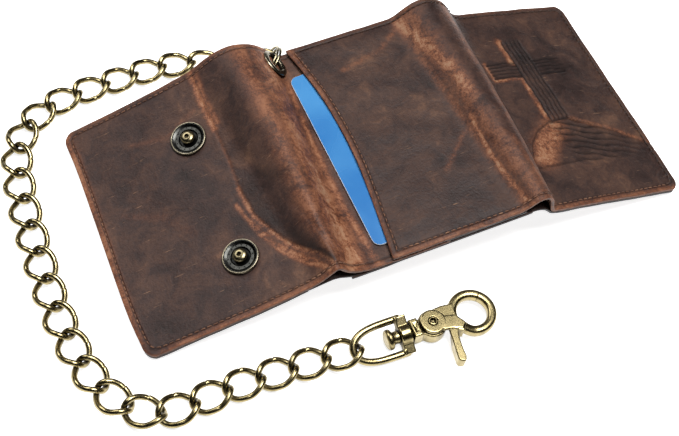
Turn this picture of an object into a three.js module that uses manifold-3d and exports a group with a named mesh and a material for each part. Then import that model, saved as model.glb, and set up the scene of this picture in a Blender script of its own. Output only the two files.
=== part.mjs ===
// Tri-fold chain wallet, opened out and standing as a low arch, with its chain and trigger snap.
// Millimetres, +Z up. Before the last step x runs from the left panel's edge to the right panel's
// edge, y from the near edge to the far edge, and z = 0 is the table.
import * as THREE from "three";
import { mergeVertices } from "three/addons/utils/BufferGeometryUtils.js";
import Module from "manifold-3d";

const wasm = await Module();
wasm.setup();

const root = new THREE.Group();
root.name = "chain_wallet";

// ---------- driving dimensions ----------
const HEIGHT = 106.8;            // near edge to far edge
const SPAN = 228.9;              // x of the right panel's outer edge
const GAP = 0.3;                 // clearance between pieces that touch
const COVER = 1.6;               // outer leather on the left and right panels
const BACKING = 1.6;             // inner leather on the left and right panels
const CORNER = 5;                // corner radius in plan
const SLOT = 0.8;                // thin inner pocket leather

const LEFT = { x: -1.6, z: 0, tilt: 16.4 };
const MIDDLE = { x: 76, z: 15.125, tilt: 5 };
const RIGHT = { x: 164, z: 16.181, tilt: -14 };
const FOLD_LEFT = { x: 71, z: 15.6 };
const FOLD_RIGHT = { x: 160, z: 14.05 };
const CLOSE_LEFT = 166;          // degrees that bring a side panel flat under the middle one
const CLOSE_RIGHT = 155;

const CARD = { long: 85.6, short: 53.98, thick: 0.76, corner: 3.18 };
const STUD = { flange: 7, rim: 0.9, well: 3.65, post: 2.85, height: 2.9, shank: 2 };
const SOCKET = { outer: 5.5, bore: 3.4, proud: 1.5 };
const EYELET = { x: 84.2, y: 99.8, z: 22.7, tilt: -46, outer: 6.2, hole: 3.7 };
const RING = { radius: 7.2, wire: 1.1, coilPitch: 1.3, toEdge: [0.1, 0.85, -0.8], lean: 35 };

const LINK = { halfLong: 7.7, halfWide: 5.65, wire: 2.25, twist: -44, count: 27 };
const CHAIN_ROUTE = [
  [88.1, 110, 14.5], [79.5, 116.6, 7.6], [69.3, 122.8, 4.4], [58, 127, 3.4], [44, 129.1, 3.2],
  [25.4, 127.8, 3.2], [4, 125.4, 3.2], [-11, 120.3, 3.2], [-21.8, 107.5, 3.2], [-25.8, 86, 3.2],
  [-26.8, 50, 3.2], [-26.2, 26, 3.2], [-22.6, 3.5, 3.2], [-15, -13.6, 3.2], [-1.5, -22.2, 3.2],
  [18, -20.8, 3.2], [45, -21, 3.2], [72.3, -22.8, 4.6],
];

const SNAP = { x: 101.9, y: -23.1, z: 4.4 };       // rivet of the trigger snap
const SNAP_RING = { x: 118.7, y: -23.4, inner: 5.8, outer: 9 };
const EYE = { x: 70.1, half: 5.6, wire: 2.6, base: 90.6, roll: 30 };

// ---------- helpers ----------
const rad = THREE.MathUtils.degToRad;

function material(color, roughness, metalness) {
  return new THREE.MeshStandardMaterial({ color, roughness, metalness, side: THREE.FrontSide });
}

const LOOK = {
  leather: material(0x57382a, 0.75, 0),
  lining: material(0x6b452f, 0.8, 0),
  brass: material(0x9a8350, 0.35, 1),
  gunmetal: material(0x4b4a44, 0.4, 1),
  card: material(0x46a0f0, 0.35, 0),
  window: material(0xe4e8ea, 0.1, 0),
  steel: material(0x8b8d8e, 0.4, 1),
};

function add(name, geometry, look) {
  const mesh = new THREE.Mesh(geometry, look);
  mesh.name = name;
  root.add(mesh);
  return mesh;
}

function bare(geometry) {
  const g = geometry.clone();
  g.deleteAttribute("normal");
  g.deleteAttribute("uv");
  return mergeVertices(g, 1e-4);
}

function solid(geometry) {
  const g = bare(geometry);
  return new wasm.Manifold(new wasm.Mesh({
    numProp: 3,
    vertProperties: new Float32Array(g.attributes.position.array),
    triVerts: new Uint32Array(g.index.array),
  }));
}

function geometryOf(manifold) {
  const mesh = manifold.getMesh();
  const g = new THREE.BufferGeometry();
  g.setAttribute("position", new THREE.BufferAttribute(new Float32Array(mesh.vertProperties), 3));
  g.setIndex(new THREE.BufferAttribute(new Uint32Array(mesh.triVerts), 1));
  const flat = g.toNonIndexed();
  flat.computeVertexNormals();
  return flat;
}

function union(geometries) {
  return geometries.map(solid).reduce((a, b) => a.add(b));
}

// A point of a panel: u along the panel, w above its inner face.
function onPanel(panel, u, w) {
  const a = rad(panel.tilt);
  return {
    x: panel.x + u * Math.cos(a) - w * Math.sin(a),
    z: panel.z + u * Math.sin(a) + w * Math.cos(a),
  };
}

function alongPanel(panel, x) {
  return (x - panel.x) / Math.cos(rad(panel.tilt));
}

// A rectangle in plan; r0 rounds the corners at u0 and r1 those at u1.
function outline(u0, u1, v0, v1, r0 = 0, r1 = 0) {
  const s = new THREE.Shape();
  s.moveTo(u0 + r0, v0);
  s.lineTo(u1 - r1, v0);
  if (r1) s.absarc(u1 - r1, v0 + r1, r1, -Math.PI / 2, 0, false);
  s.lineTo(u1, v1 - r1);
  if (r1) s.absarc(u1 - r1, v1 - r1, r1, 0, Math.PI / 2, false);
  s.lineTo(u0 + r0, v1);
  if (r0) s.absarc(u0 + r0, v1 - r0, r0, Math.PI / 2, Math.PI, false);
  s.lineTo(u0, v0 + r0);
  if (r0) s.absarc(u0 + r0, v0 + r0, r0, Math.PI, Math.PI * 1.5, false);
  return s;
}

function hole(shape, u, v, r) {
  const p = new THREE.Path();
  p.absarc(u, v, r, 0, Math.PI * 2, true);
  shape.holes.push(p);
}

function flatPiece(shape, w, thick, curveSegments = 5) {
  const g = new THREE.ExtrudeGeometry(shape, { depth: thick, bevelEnabled: false, curveSegments });
  return g.translate(0, 0, w);
}

function lay(geometry, panel) {
  return geometry.rotateY(-rad(panel.tilt)).translate(panel.x, 0, panel.z);
}

// A leather strip whose cross-section follows a curve in x and z and runs from edge to edge.
function fold(points, thick, v0, v1) {
  const line = new THREE.SplineCurve(points.map(([x, z]) => new THREE.Vector2(x, z)));
  const steps = 20;
  const sides = [[], []];
  for (let i = 0; i <= steps; i++) {
    const p = line.getPointAt(i / steps);
    const t = line.getTangentAt(i / steps);
    sides[0].push(new THREE.Vector2(p.x + t.y * thick / 2, p.y - t.x * thick / 2));
    sides[1].push(new THREE.Vector2(p.x - t.y * thick / 2, p.y + t.x * thick / 2));
  }
  const shape = new THREE.Shape([...sides[0], ...sides[1].reverse()]);
  const g = new THREE.ExtrudeGeometry(shape, { depth: v1 - v0, bevelEnabled: false });
  return g.rotateX(Math.PI / 2).translate(0, v1, 0);
}

// Turned piece about z; the profile is a closed list of [radius, height], in either direction.
function turned(profile, segments = 24) {
  const points = profile.map(([r, z]) => new THREE.Vector2(r, z));
  if (THREE.ShapeUtils.area(points) < 0) points.reverse();
  points.push(points[0].clone());
  return new THREE.LatheGeometry(points, segments).rotateX(Math.PI / 2);
}

// A turned piece standing on a panel at (u, v), with its own z = 0 at height w.
function stand(geometry, panel, u, v, w) {
  return lay(geometry.translate(u, v, w), panel);
}

function sweep(curve, wire, steps, sides) {
  const section = new THREE.Shape();
  for (let i = 0; i < sides; i++) {
    const a = (i + 0.5) / sides * Math.PI * 2;
    const x = Math.cos(a) * wire / 2;
    const y = Math.sin(a) * wire / 2;
    if (i) section.lineTo(x, y);
    else section.moveTo(x, y);
  }
  return new THREE.ExtrudeGeometry(section, { steps, bevelEnabled: false, extrudePath: curve });
}

class Path3 extends THREE.Curve {
  constructor(at) {
    super();
    this.at = at;
  }
  getPoint(t) {
    return this.at(t);
  }
}

// ---------- left panel ----------
const left = {
  cover: alongPanel(LEFT, 60.6),
  backing: alongPanel(LEFT, 66.2),
};
const studs = [["upper", 41, 79], ["lower", 42.7, 23]];
const leftCover = outline(0, left.cover, 0, HEIGHT, CORNER, 0);
const leftBacking = outline(0, left.backing, 0, HEIGHT, CORNER, 0);
for (const [, x, y] of studs) {
  const u = alongPanel(LEFT, x);
  hole(leftCover, u, y, STUD.shank + GAP);
  hole(leftBacking, u, y, 5.8);
}
const skinFoot = BACKING + GAP;
add("cover_left", lay(flatPiece(leftCover, skinFoot, COVER), LEFT), LOOK.leather);
add("backing_left", lay(flatPiece(leftBacking, 0, BACKING), LEFT), LOOK.lining);
const leftSlot = outline(9, 56, 4, HEIGHT - 4, 2, 2);
add("slot_left", lay(flatPiece(leftSlot, -GAP - SLOT, SLOT), LEFT), LOOK.lining);

// ---------- studs: flange with rolled rim, dark well and domed post; a cap behind the cover ----------
const skinTop = skinFoot + COVER;
const studProfile = [
  [0, -COVER - 0.3], [STUD.shank, -COVER - 0.3], [STUD.shank, 0.15], [STUD.flange - 0.5, 0.15],
  [STUD.flange, 0.45], [STUD.flange, 0.75], [STUD.flange - 0.5, STUD.rim + 0.15],
  [STUD.flange - 1.2, STUD.rim], [STUD.well + 0.3, STUD.rim], [STUD.well, 0.5],
  [STUD.post - 0.35, 0.5], [STUD.post - 0.35, 1.5], [STUD.post, 1.9], [STUD.post - 0.15, 2.4],
  [STUD.post - 0.8, 2.8], [STUD.post - 1.8, STUD.height], [0.6, STUD.height], [0, 2.6],
];
for (const [where, x, y] of studs) {
  const u = alongPanel(LEFT, x);
  add(`stud_${where}`, stand(turned(studProfile, 20), LEFT, u, y, skinTop), LOOK.gunmetal);
  const cap = turned([
    [0, 0], [5.3, 0], [5.3, 1.1], [4.9, 1.35], [2.3, 1.35], [2.3, 0.5], [0, 0.5],
  ], 20);
  add(`stud_cap_${where}`, stand(cap, LEFT, u, y, 0.15), LOOK.gunmetal);
}

// ---------- middle panel ----------
const M_BACKING = 0.8;
const TAIL = { w: M_BACKING + GAP, thick: 1.2 };
const OVERLAY = { w: 3.6, thick: 1.3 };
const middleEnd = alongPanel(MIDDLE, 155);
const NOTCH = { u: 15, v: 93 };          // leaves room for the split ring
const middleBacking = new THREE.Shape([
  new THREE.Vector2(0, 0), new THREE.Vector2(middleEnd, 0), new THREE.Vector2(middleEnd, HEIGHT),
  new THREE.Vector2(NOTCH.u, HEIGHT), new THREE.Vector2(NOTCH.u, NOTCH.v + 3),
  new THREE.Vector2(NOTCH.u - 3, NOTCH.v), new THREE.Vector2(0, NOTCH.v),
]);
const tail = outline(alongPanel(MIDDLE, 88.9), alongPanel(MIDDLE, 150), 0, HEIGHT);
add("backing_middle", lay(flatPiece(middleBacking, 0, M_BACKING), MIDDLE), LOOK.lining);
add("cover_middle_tail", lay(flatPiece(tail, TAIL.w, TAIL.thick), MIDDLE), LOOK.leather);

// The overlay's free edge is the mouth of the quick pocket, and bows toward the right panel.
const overlayEnd = alongPanel(MIDDLE, 146.2);
const mouth = new THREE.SplineCurve([
  [94, 0], [95.2, 12], [97.3, 31.5], [98.2, 52], [98, 70], [95.6, 88], [91.9, HEIGHT],
].map(([x, y]) => new THREE.Vector2(alongPanel(MIDDLE, x), y)));
const overlay = new THREE.Shape();
overlay.moveTo(alongPanel(MIDDLE, 94), 0);
overlay.lineTo(overlayEnd, 0);
overlay.lineTo(overlayEnd, HEIGHT);
for (const p of mouth.getPoints(18).reverse()) overlay.lineTo(p.x, p.y);
add("cover_middle_overlay", lay(flatPiece(overlay, OVERLAY.w, OVERLAY.thick), MIDDLE), LOOK.leather);

const cardShape = outline(-CARD.short / 2, CARD.short / 2, -CARD.long / 2, CARD.long / 2,
  CARD.corner, CARD.corner);
const card = flatPiece(cardShape, 0, CARD.thick, 4).rotateZ(rad(2.03));
card.translate(alongPanel(MIDDLE, 117.2), 51.1, TAIL.w + TAIL.thick + 0.2);
add("card", lay(card, MIDDLE), LOOK.card);

const slots = [["first", 18, 72], ["second", 18, 52]];
slots.forEach(([where, u0, u1], i) => {
  const w = -(i + 1) * (SLOT + GAP);
  const slot = outline(u0, u1, 4, HEIGHT - 4, 2, 2);
  add(`slot_middle_${where}`, lay(flatPiece(slot, w, SLOT), MIDDLE), LOOK.lining);
});

// ---------- the slack leather over the two folds, and the inner leather under it ----------
function tilted(geometry) {
  return geometry.rotateY(-rad(EYELET.tilt)).translate(EYELET.x, EYELET.y, EYELET.z);
}
const eyeletBore = tilted(new THREE.CylinderGeometry(4.7, 4.7, 8, 24).rotateX(Math.PI / 2));
const foldLeft = fold([
  [61, 20.85], [63.4, 24.2], [66.4, 28.9], [69.8, 31.6], [73.8, 31.3], [78, 28.4], [81, 25.8],
  [84.2, 22.7], [86.5, 20.4], [88, 18.7],
], 1.5, 0, HEIGHT);
add("cover_fold_left", geometryOf(solid(foldLeft).subtract(solid(eyeletBore))), LOOK.leather);
add("cover_fold_right", fold([
  [146.5, 25.6], [149.4, 28.2], [153, 30.9], [156.8, 31.4], [160.4, 29.6], [162.8, 26],
  [163.7, 22], [164.4, 19.6], [165.5, 18.6],
], 1.4, 0, HEIGHT), LOOK.leather);
add("inner_fold_left", fold([
  [66.5, 20.7], [69.6, 22.4], [72.6, 21.2], [75.5, 16.4],
], 0.8, 0.4, HEIGHT - 0.4), LOOK.lining);
add("inner_fold_right", fold([
  [155.6, 22.6], [158.4, 23.8], [161.2, 21.6], [163.6, 17.4],
], 0.8, 0.4, HEIGHT - 0.4), LOOK.lining);

// ---------- right panel ----------
const rightFrom = alongPanel(RIGHT, 166.1);
const rightTo = alongPanel(RIGHT, SPAN);
const rightCover = outline(rightFrom, rightTo, 0, HEIGHT, 0, CORNER);
const rightBacking = outline(alongPanel(RIGHT, 164.6), rightTo, 0, HEIGHT, 0, CORNER);
add("backing_right", lay(flatPiece(rightBacking, 0, BACKING), RIGHT), LOOK.lining);

// A tooled plain cross on a ribbed mound: shallow grooves cut into the cover's face.
function groove(x0, y0, x1, y1, width) {
  const u0 = alongPanel(RIGHT, x0);
  const u1 = alongPanel(RIGHT, x1);
  const long = Math.hypot(u1 - u0, y1 - y0);
  const box = new THREE.BoxGeometry(long, width, 1);
  box.rotateZ(Math.atan2(y1 - y0, u1 - u0));
  return box.translate((u0 + u1) / 2, (y0 + y1) / 2, skinTop - 0.45 + 0.5);
}
const grooves = [];
for (const k of [-1.5, -0.5, 0.5, 1.5]) {
  const side = 2 * k;
  grooves.push(groove(190.2 + side, 43, 190.2 + side, 86, 0.6));
  grooves.push(groove(172, 71 + side, 208.4, 71 + side, 0.6));
}
const RIBS = 9;
for (let i = 0; i < RIBS; i++) {
  const t = i / (RIBS - 1);
  grooves.push(groove(186 + 6 * t, 38.5 - Math.abs(t - 0.5) * 4, 168 + 56 * t, 21, 0.6));
}
let tooled = solid(flatPiece(rightCover, skinFoot, COVER));
for (const g of grooves) tooled = tooled.subtract(solid(g));
add("cover_right", lay(geometryOf(tooled), RIGHT), LOOK.leather);

const frame = outline(6, 46, 18, 90, 2, 2);
const pane = new THREE.Path(outline(10, 42, 22, 86, 1, 1).getPoints(4).reverse());
frame.holes.push(pane);
add("window_frame", lay(flatPiece(frame, -1.45, SLOT), RIGHT), LOOK.lining);
add("window", lay(flatPiece(outline(8, 44, 20, 88, 1, 1), -0.55, 0.35), RIGHT), LOOK.window);

// The sockets sit where the studs arrive once the left and then the right panel are folded under.
function turnAbout(point, pivot, degrees) {
  const a = rad(degrees);
  const dx = point.x - pivot.x;
  const dz = point.z - pivot.z;
  return {
    x: pivot.x + dx * Math.cos(a) - dz * Math.sin(a),
    z: pivot.z + dx * Math.sin(a) + dz * Math.cos(a),
  };
}
for (const [where, x, y] of studs) {
  const at = onPanel(LEFT, alongPanel(LEFT, x), skinTop);
  const closed = turnAbout(at, FOLD_LEFT, CLOSE_LEFT);
  const open = turnAbout(closed, FOLD_RIGHT, CLOSE_RIGHT);
  const socket = turned([
    [SOCKET.bore, -0.15], [SOCKET.bore, -SOCKET.proud], [SOCKET.outer - 1.2, -SOCKET.proud],
    [SOCKET.outer - 0.6, -SOCKET.proud + 0.4], [SOCKET.outer - 0.6, -0.7], [SOCKET.outer, -0.5],
    [SOCKET.outer, -0.15],
  ], 24);
  const across = (open.x - RIGHT.x) * Math.cos(rad(RIGHT.tilt))
    + (open.z - RIGHT.z) * Math.sin(rad(RIGHT.tilt));
  add(`socket_${where}`, stand(socket, RIGHT, across, y, 0), LOOK.gunmetal);
}

// ---------- eyelet with its washer, and the split ring through it ----------
const SKIN = 0.75;               // half the fold leather's thickness
const grommet = turned([
  [EYELET.hole, -SKIN - 0.5], [4.4, -SKIN - 0.5], [4.4, SKIN + 0.25], [EYELET.outer, SKIN + 0.25],
  [EYELET.outer, SKIN + 0.6], [5.2, SKIN + 1.2], [4.4, SKIN + 1.2], [EYELET.hole, SKIN + 0.8],
], 24);
add("eyelet", tilted(grommet), LOOK.gunmetal);
const washer = turned([
  [4.7, -SKIN - 0.25], [4.7, -SKIN - 0.7], [5.6, -SKIN - 0.9], [EYELET.outer, -SKIN - 0.7],
  [EYELET.outer, -SKIN - 0.25],
], 24);
add("eyelet_washer", tilted(washer), LOOK.gunmetal);

// The ring hangs from the eyelet and passes round the far edge.
const toEdge = new THREE.Vector3(...RING.toEdge).normalize();
const through = new THREE.Vector3(Math.sin(rad(RING.lean)), 0, Math.cos(rad(RING.lean)));
const ringSide = toEdge.clone().cross(through).normalize();
const ringUp = ringSide.clone().cross(toEdge);
const ringCentre = new THREE.Vector3(EYELET.x, EYELET.y, EYELET.z)
  .addScaledVector(toEdge, RING.radius);
const coil = new Path3((t) => {
  const turns = (t - 0.5) * 1.9;
  const a = turns * Math.PI * 2 + 0.5;
  return ringCentre.clone()
    .addScaledVector(toEdge, Math.cos(a) * RING.radius)
    .addScaledVector(ringSide, turns * RING.coilPitch)
    .addScaledVector(ringUp, Math.sin(a) * RING.radius);
});
add("split_ring", sweep(coil, RING.wire, 48, 6), LOOK.brass);

// ---------- chain ----------
const route = new THREE.CatmullRomCurve3(
  CHAIN_ROUTE.map(([x, y, z]) => new THREE.Vector3(x, y, z)), false, "centripetal");
route.arcLengthDivisions = 1000;
const pivots = route.getSpacedPoints(LINK.count);

const UP = new THREE.Vector3(0, 0, 1);
function linkPath(a, b) {
  const centre = a.clone().add(b).multiplyScalar(0.5);
  const along = b.clone().sub(a).normalize();
  const side = UP.clone().cross(along).normalize();
  const normal = along.clone().cross(side);
  return new Path3((t) => {
    const opening = 0.009;
    const angle = (opening + t * (1 - 2 * opening) + 0.25) * Math.PI * 2;
    const s = Math.cos(angle);
    const wide = Math.sin(angle) * LINK.halfWide;
    const turn = rad(LINK.twist) * s;
    return centre.clone()
      .addScaledVector(along, s * LINK.halfLong)
      .addScaledVector(side, wide * Math.cos(turn))
      .addScaledVector(normal, wide * Math.sin(turn));
  });
}
for (let i = 0; i < LINK.count; i++) {
  const number = String(i + 1).padStart(2, "0");
  const geometry = sweep(linkPath(pivots[i], pivots[i + 1]), LINK.wire, 18, 6);
  add(`link_${number}`, geometry, LOOK.brass);
}

// ---------- trigger snap ----------
// Swivel eye: a D loop of wire on a bored base, lying rolled about the swivel's axis.
const eyeLoop = new Path3((t) => {
  const reach = EYE.base - EYE.x;
  const a = (t - 0.5) * Math.PI;
  const bend = Math.max(0, Math.cos(a));
  return new THREE.Vector3(-reach * Math.pow(bend, 0.45), Math.sin(a) * EYE.half, 0);
});
const eyeBase = new THREE.BoxGeometry(4.4, 2 * EYE.half + EYE.wire, 3.6);
const eyeBarrel = new THREE.CylinderGeometry(3.9, 3.9, 4.4, 8).rotateZ(Math.PI / 2);
const eyeBore = new THREE.CylinderGeometry(1.9, 1.9, 12, 20).rotateZ(Math.PI / 2);
const eye = union([sweep(eyeLoop, EYE.wire, 24, 8), eyeBase, eyeBarrel]).subtract(solid(eyeBore));
const eyeGeometry = geometryOf(eye).rotateX(rad(EYE.roll)).translate(EYE.base, SNAP.y, SNAP.z);
add("swivel_eye", eyeGeometry, LOOK.brass);

// Spindle: a stepped knob inside the eye, with its shank through the eye's base into the body.
const spindle = turned([
  [0, -7.6], [1.6, -7.6], [2.4, -7.2], [2.4, -6.5], [3.3, -6.2], [3.3, -4.9], [2.6, -4.5],
  [2.6, -2.6], [1.5, -2.6], [1.5, 4.9], [0, 4.9],
], 20).rotateY(Math.PI / 2).translate(EYE.base, SNAP.y, SNAP.z);
add("spindle", spindle, LOOK.brass);

// Body: square collar, round plate under the trigger and the fixed upper jaw.
const BODY = { low: -3.7, high: 2.0, plate: 5.6 };
const JAW = { low: -2.4, high: 2.0 };
function prism(shape, low, high, curveSegments = 10) {
  const g = new THREE.ExtrudeGeometry(shape, { depth: high - low, bevelEnabled: false, curveSegments });
  return g.translate(0, 0, low);
}
function arcBand(cx, cy, r0, r1, from, to) {
  const s = new THREE.Shape();
  s.absarc(cx, cy, r1, rad(from), rad(to), to < from);
  s.absarc(cx, cy, r0, rad(to), rad(from), to > from);
  return s;
}
const ringX = SNAP_RING.x - SNAP.x;
const ringY = SNAP_RING.y - SNAP.y;
const disc = new THREE.Shape();
disc.absarc(0, 0, BODY.plate, 0, Math.PI * 2, false);
const collar = new THREE.BoxGeometry(3.5, 7.6, 7).translate(-7.05, 0, 0.1);
const web = new THREE.BoxGeometry(4, 6.8, BODY.high - BODY.low)
  .translate(-5, 0, (BODY.high + BODY.low) / 2);
const recess = new THREE.BoxGeometry(1.6, 4, 1.2).translate(-7.05, 0, 3.5);
const jaw = arcBand(ringX, ringY, SNAP_RING.inner, SNAP_RING.outer, 47, 176);
const neck = new THREE.Shape([
  new THREE.Vector2(1, 5.3), new THREE.Vector2(1, -1), new THREE.Vector2(8.6, -1),
  new THREE.Vector2(10.4, 0.6), new THREE.Vector2(10.6, 5.2), new THREE.Vector2(6, 5.8),
]);
const springPocket = new THREE.CylinderGeometry(3.5, 3.5, 4.4, 24).rotateX(Math.PI / 2)
  .translate(0, 0, BODY.low + 1.1 + 2.2);
const rivetBore = new THREE.CylinderGeometry(1.9, 1.9, 20, 20).rotateX(Math.PI / 2);
const spindleBore = new THREE.CylinderGeometry(1.85, 1.85, 6, 20).rotateZ(Math.PI / 2)
  .translate(-9.1, 0, 0);
const body = union([
  prism(disc, BODY.low, BODY.high), collar, web,
  prism(jaw, JAW.low, JAW.high, 14), prism(neck, JAW.low, JAW.high),
]).subtract(solid(springPocket)).subtract(solid(rivetBore)).subtract(solid(recess))
  .subtract(solid(spindleBore));
add("hook_body", geometryOf(body).translate(SNAP.x, SNAP.y, SNAP.z), LOOK.brass);

// Trigger: front disc, arm, the ring's lower part and the thumb lever, in one casting.
const PLATE = { low: 2.35, high: 3.9 };
const frontDisc = new THREE.Shape();
frontDisc.absarc(0, 0, 4.9, 0, Math.PI * 2, false);
const gate = arcBand(ringX, ringY, SNAP_RING.inner, SNAP_RING.outer, 43.5, -158);
const arm = new THREE.Shape([
  new THREE.Vector2(2.4, -4.6), new THREE.Vector2(9.6, -6.6), new THREE.Vector2(11.6, -4.4),
  new THREE.Vector2(9.6, -0.4), new THREE.Vector2(4.8, 0.6),
]);
const armFoot = new THREE.Shape([
  new THREE.Vector2(6.2, -5.8), new THREE.Vector2(9.6, -7.4), new THREE.Vector2(11.6, -5),
  new THREE.Vector2(8.4, -3.6),
]);
const lever = new THREE.Shape([
  new THREE.Vector2(4.4, -4.9), new THREE.Vector2(8.2, -5.6), new THREE.Vector2(7.4, -11),
  new THREE.Vector2(6.9, -17.6), new THREE.Vector2(4.2, -18.6), new THREE.Vector2(2.3, -17.4),
  new THREE.Vector2(3.3, -11),
]);
const leverFoot = new THREE.Shape([
  new THREE.Vector2(5, -6.4), new THREE.Vector2(8.2, -6.2), new THREE.Vector2(7.4, -11),
  new THREE.Vector2(6.9, -17.6), new THREE.Vector2(4.2, -18.6), new THREE.Vector2(2.3, -17.4),
  new THREE.Vector2(3.3, -11),
]);
const rivetHole = new THREE.CylinderGeometry(1.9, 1.9, 12, 20).rotateX(Math.PI / 2);
const rivetSeat = new THREE.CylinderGeometry(3.5, 3.5, 2, 24).rotateX(Math.PI / 2)
  .translate(0, 0, PLATE.high - 0.8 + 1);
const trigger = union([
  prism(frontDisc, PLATE.low, PLATE.high, 14), prism(gate, JAW.low, JAW.high, 22),
  prism(arm, PLATE.low, PLATE.high), prism(armFoot, JAW.low, PLATE.high),
  prism(lever, PLATE.low, PLATE.high), prism(leverFoot, -1.6, PLATE.high),
]).subtract(solid(rivetHole)).subtract(solid(rivetSeat));
add("trigger", geometryOf(trigger).translate(SNAP.x, SNAP.y, SNAP.z), LOOK.brass);

const rivet = turned([
  [0, -4.3], [2.6, -4.3], [2.6, -3.95], [1.6, -3.95], [1.6, 3.35], [3.2, 3.35], [3.2, 3.8],
  [2.6, 4.2], [0, 4.2],
], 20);
add("rivet", rivet.translate(SNAP.x, SNAP.y, SNAP.z), LOOK.brass);

const SPRING = { radius: 2.6, wire: 0.5, turns: 3.5, low: -1.9, high: 1.6 };
const springPath = new Path3((t) => {
  const a = t * SPRING.turns * Math.PI * 2;
  return new THREE.Vector3(Math.cos(a) * SPRING.radius, Math.sin(a) * SPRING.radius,
    SPRING.low + (SPRING.high - SPRING.low) * t);
});
const spring = sweep(springPath, SPRING.wire, 42, 5);
add("trigger_spring", spring.translate(SNAP.x, SNAP.y, SNAP.z), LOOK.steel);

// ---------- origin at the bottom centre of the whole part ----------
const whole = new THREE.Box3().setFromObject(root, true);
const middle = whole.getCenter(new THREE.Vector3());
const shift = new THREE.Vector3(-middle.x, -middle.y, -whole.min.z);
for (const mesh of root.children) mesh.geometry.translate(shift.x, shift.y, shift.z);

export default root;
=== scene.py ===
"""Chain wallet: worn leather trifold with snap studs, a card pocket, a curb chain and a trigger snap.

Lengths are millimetres in the wallet's own frame: x from the left panel's outer edge to the right
panel's, y from the near edge to the far edge, z up from the table. place() turns them into the row frame.
"""
import math
import random

import bmesh
import bpy
import numpy as np
from mathutils import Matrix, Vector, noise


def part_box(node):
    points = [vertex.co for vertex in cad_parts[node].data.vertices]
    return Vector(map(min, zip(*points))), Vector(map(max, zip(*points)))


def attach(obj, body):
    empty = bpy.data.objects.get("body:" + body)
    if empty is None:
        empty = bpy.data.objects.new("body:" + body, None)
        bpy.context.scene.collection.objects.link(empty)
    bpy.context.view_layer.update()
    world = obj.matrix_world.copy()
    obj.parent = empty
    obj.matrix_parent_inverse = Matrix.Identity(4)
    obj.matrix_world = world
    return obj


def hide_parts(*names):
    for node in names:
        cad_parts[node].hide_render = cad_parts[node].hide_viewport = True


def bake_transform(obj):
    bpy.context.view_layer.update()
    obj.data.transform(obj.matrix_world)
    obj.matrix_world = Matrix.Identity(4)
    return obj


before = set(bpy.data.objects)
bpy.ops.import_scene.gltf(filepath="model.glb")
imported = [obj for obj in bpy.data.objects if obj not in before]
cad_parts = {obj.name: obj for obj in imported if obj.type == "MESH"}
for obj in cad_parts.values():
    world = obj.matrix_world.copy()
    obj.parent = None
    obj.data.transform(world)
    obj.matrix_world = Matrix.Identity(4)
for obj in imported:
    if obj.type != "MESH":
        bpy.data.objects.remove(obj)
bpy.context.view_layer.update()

MM = 0.001
# The leather's size along the folds and across them, its corners and how far a cut edge is rounded.
HEIGHT = 106.8
SPAN = 228.9
CORNER = 5.0
ROUND = 0.35
# Where the inner faces of the middle and right panels start, as x and z, and their slope in degrees.
MIDDLE = (76, 15.125, 5)
RIGHT = (164, 16.181, -14)
MIDDLE_EDGE = Vector((MIDDLE[0] - 0.8 * math.sin(math.radians(MIDDLE[2])), 0, MIDDLE[1]))
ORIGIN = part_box("backing_middle")[0] - MIDDLE_EDGE * MM


def place(point):
    """From the wallet's own millimetres to the row frame."""
    return ORIGIN + Vector(point) * MM


def local(point):
    """From the row frame to the wallet's own millimetres."""
    return (point - ORIGIN) / MM


def smoothstep(a, b, x):
    """0 at a, 1 at b, and a soft step between."""
    t = np.clip((np.asarray(x, float) - a) / (b - a), 0, 1)
    return t * t * (3 - 2 * t)


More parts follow.
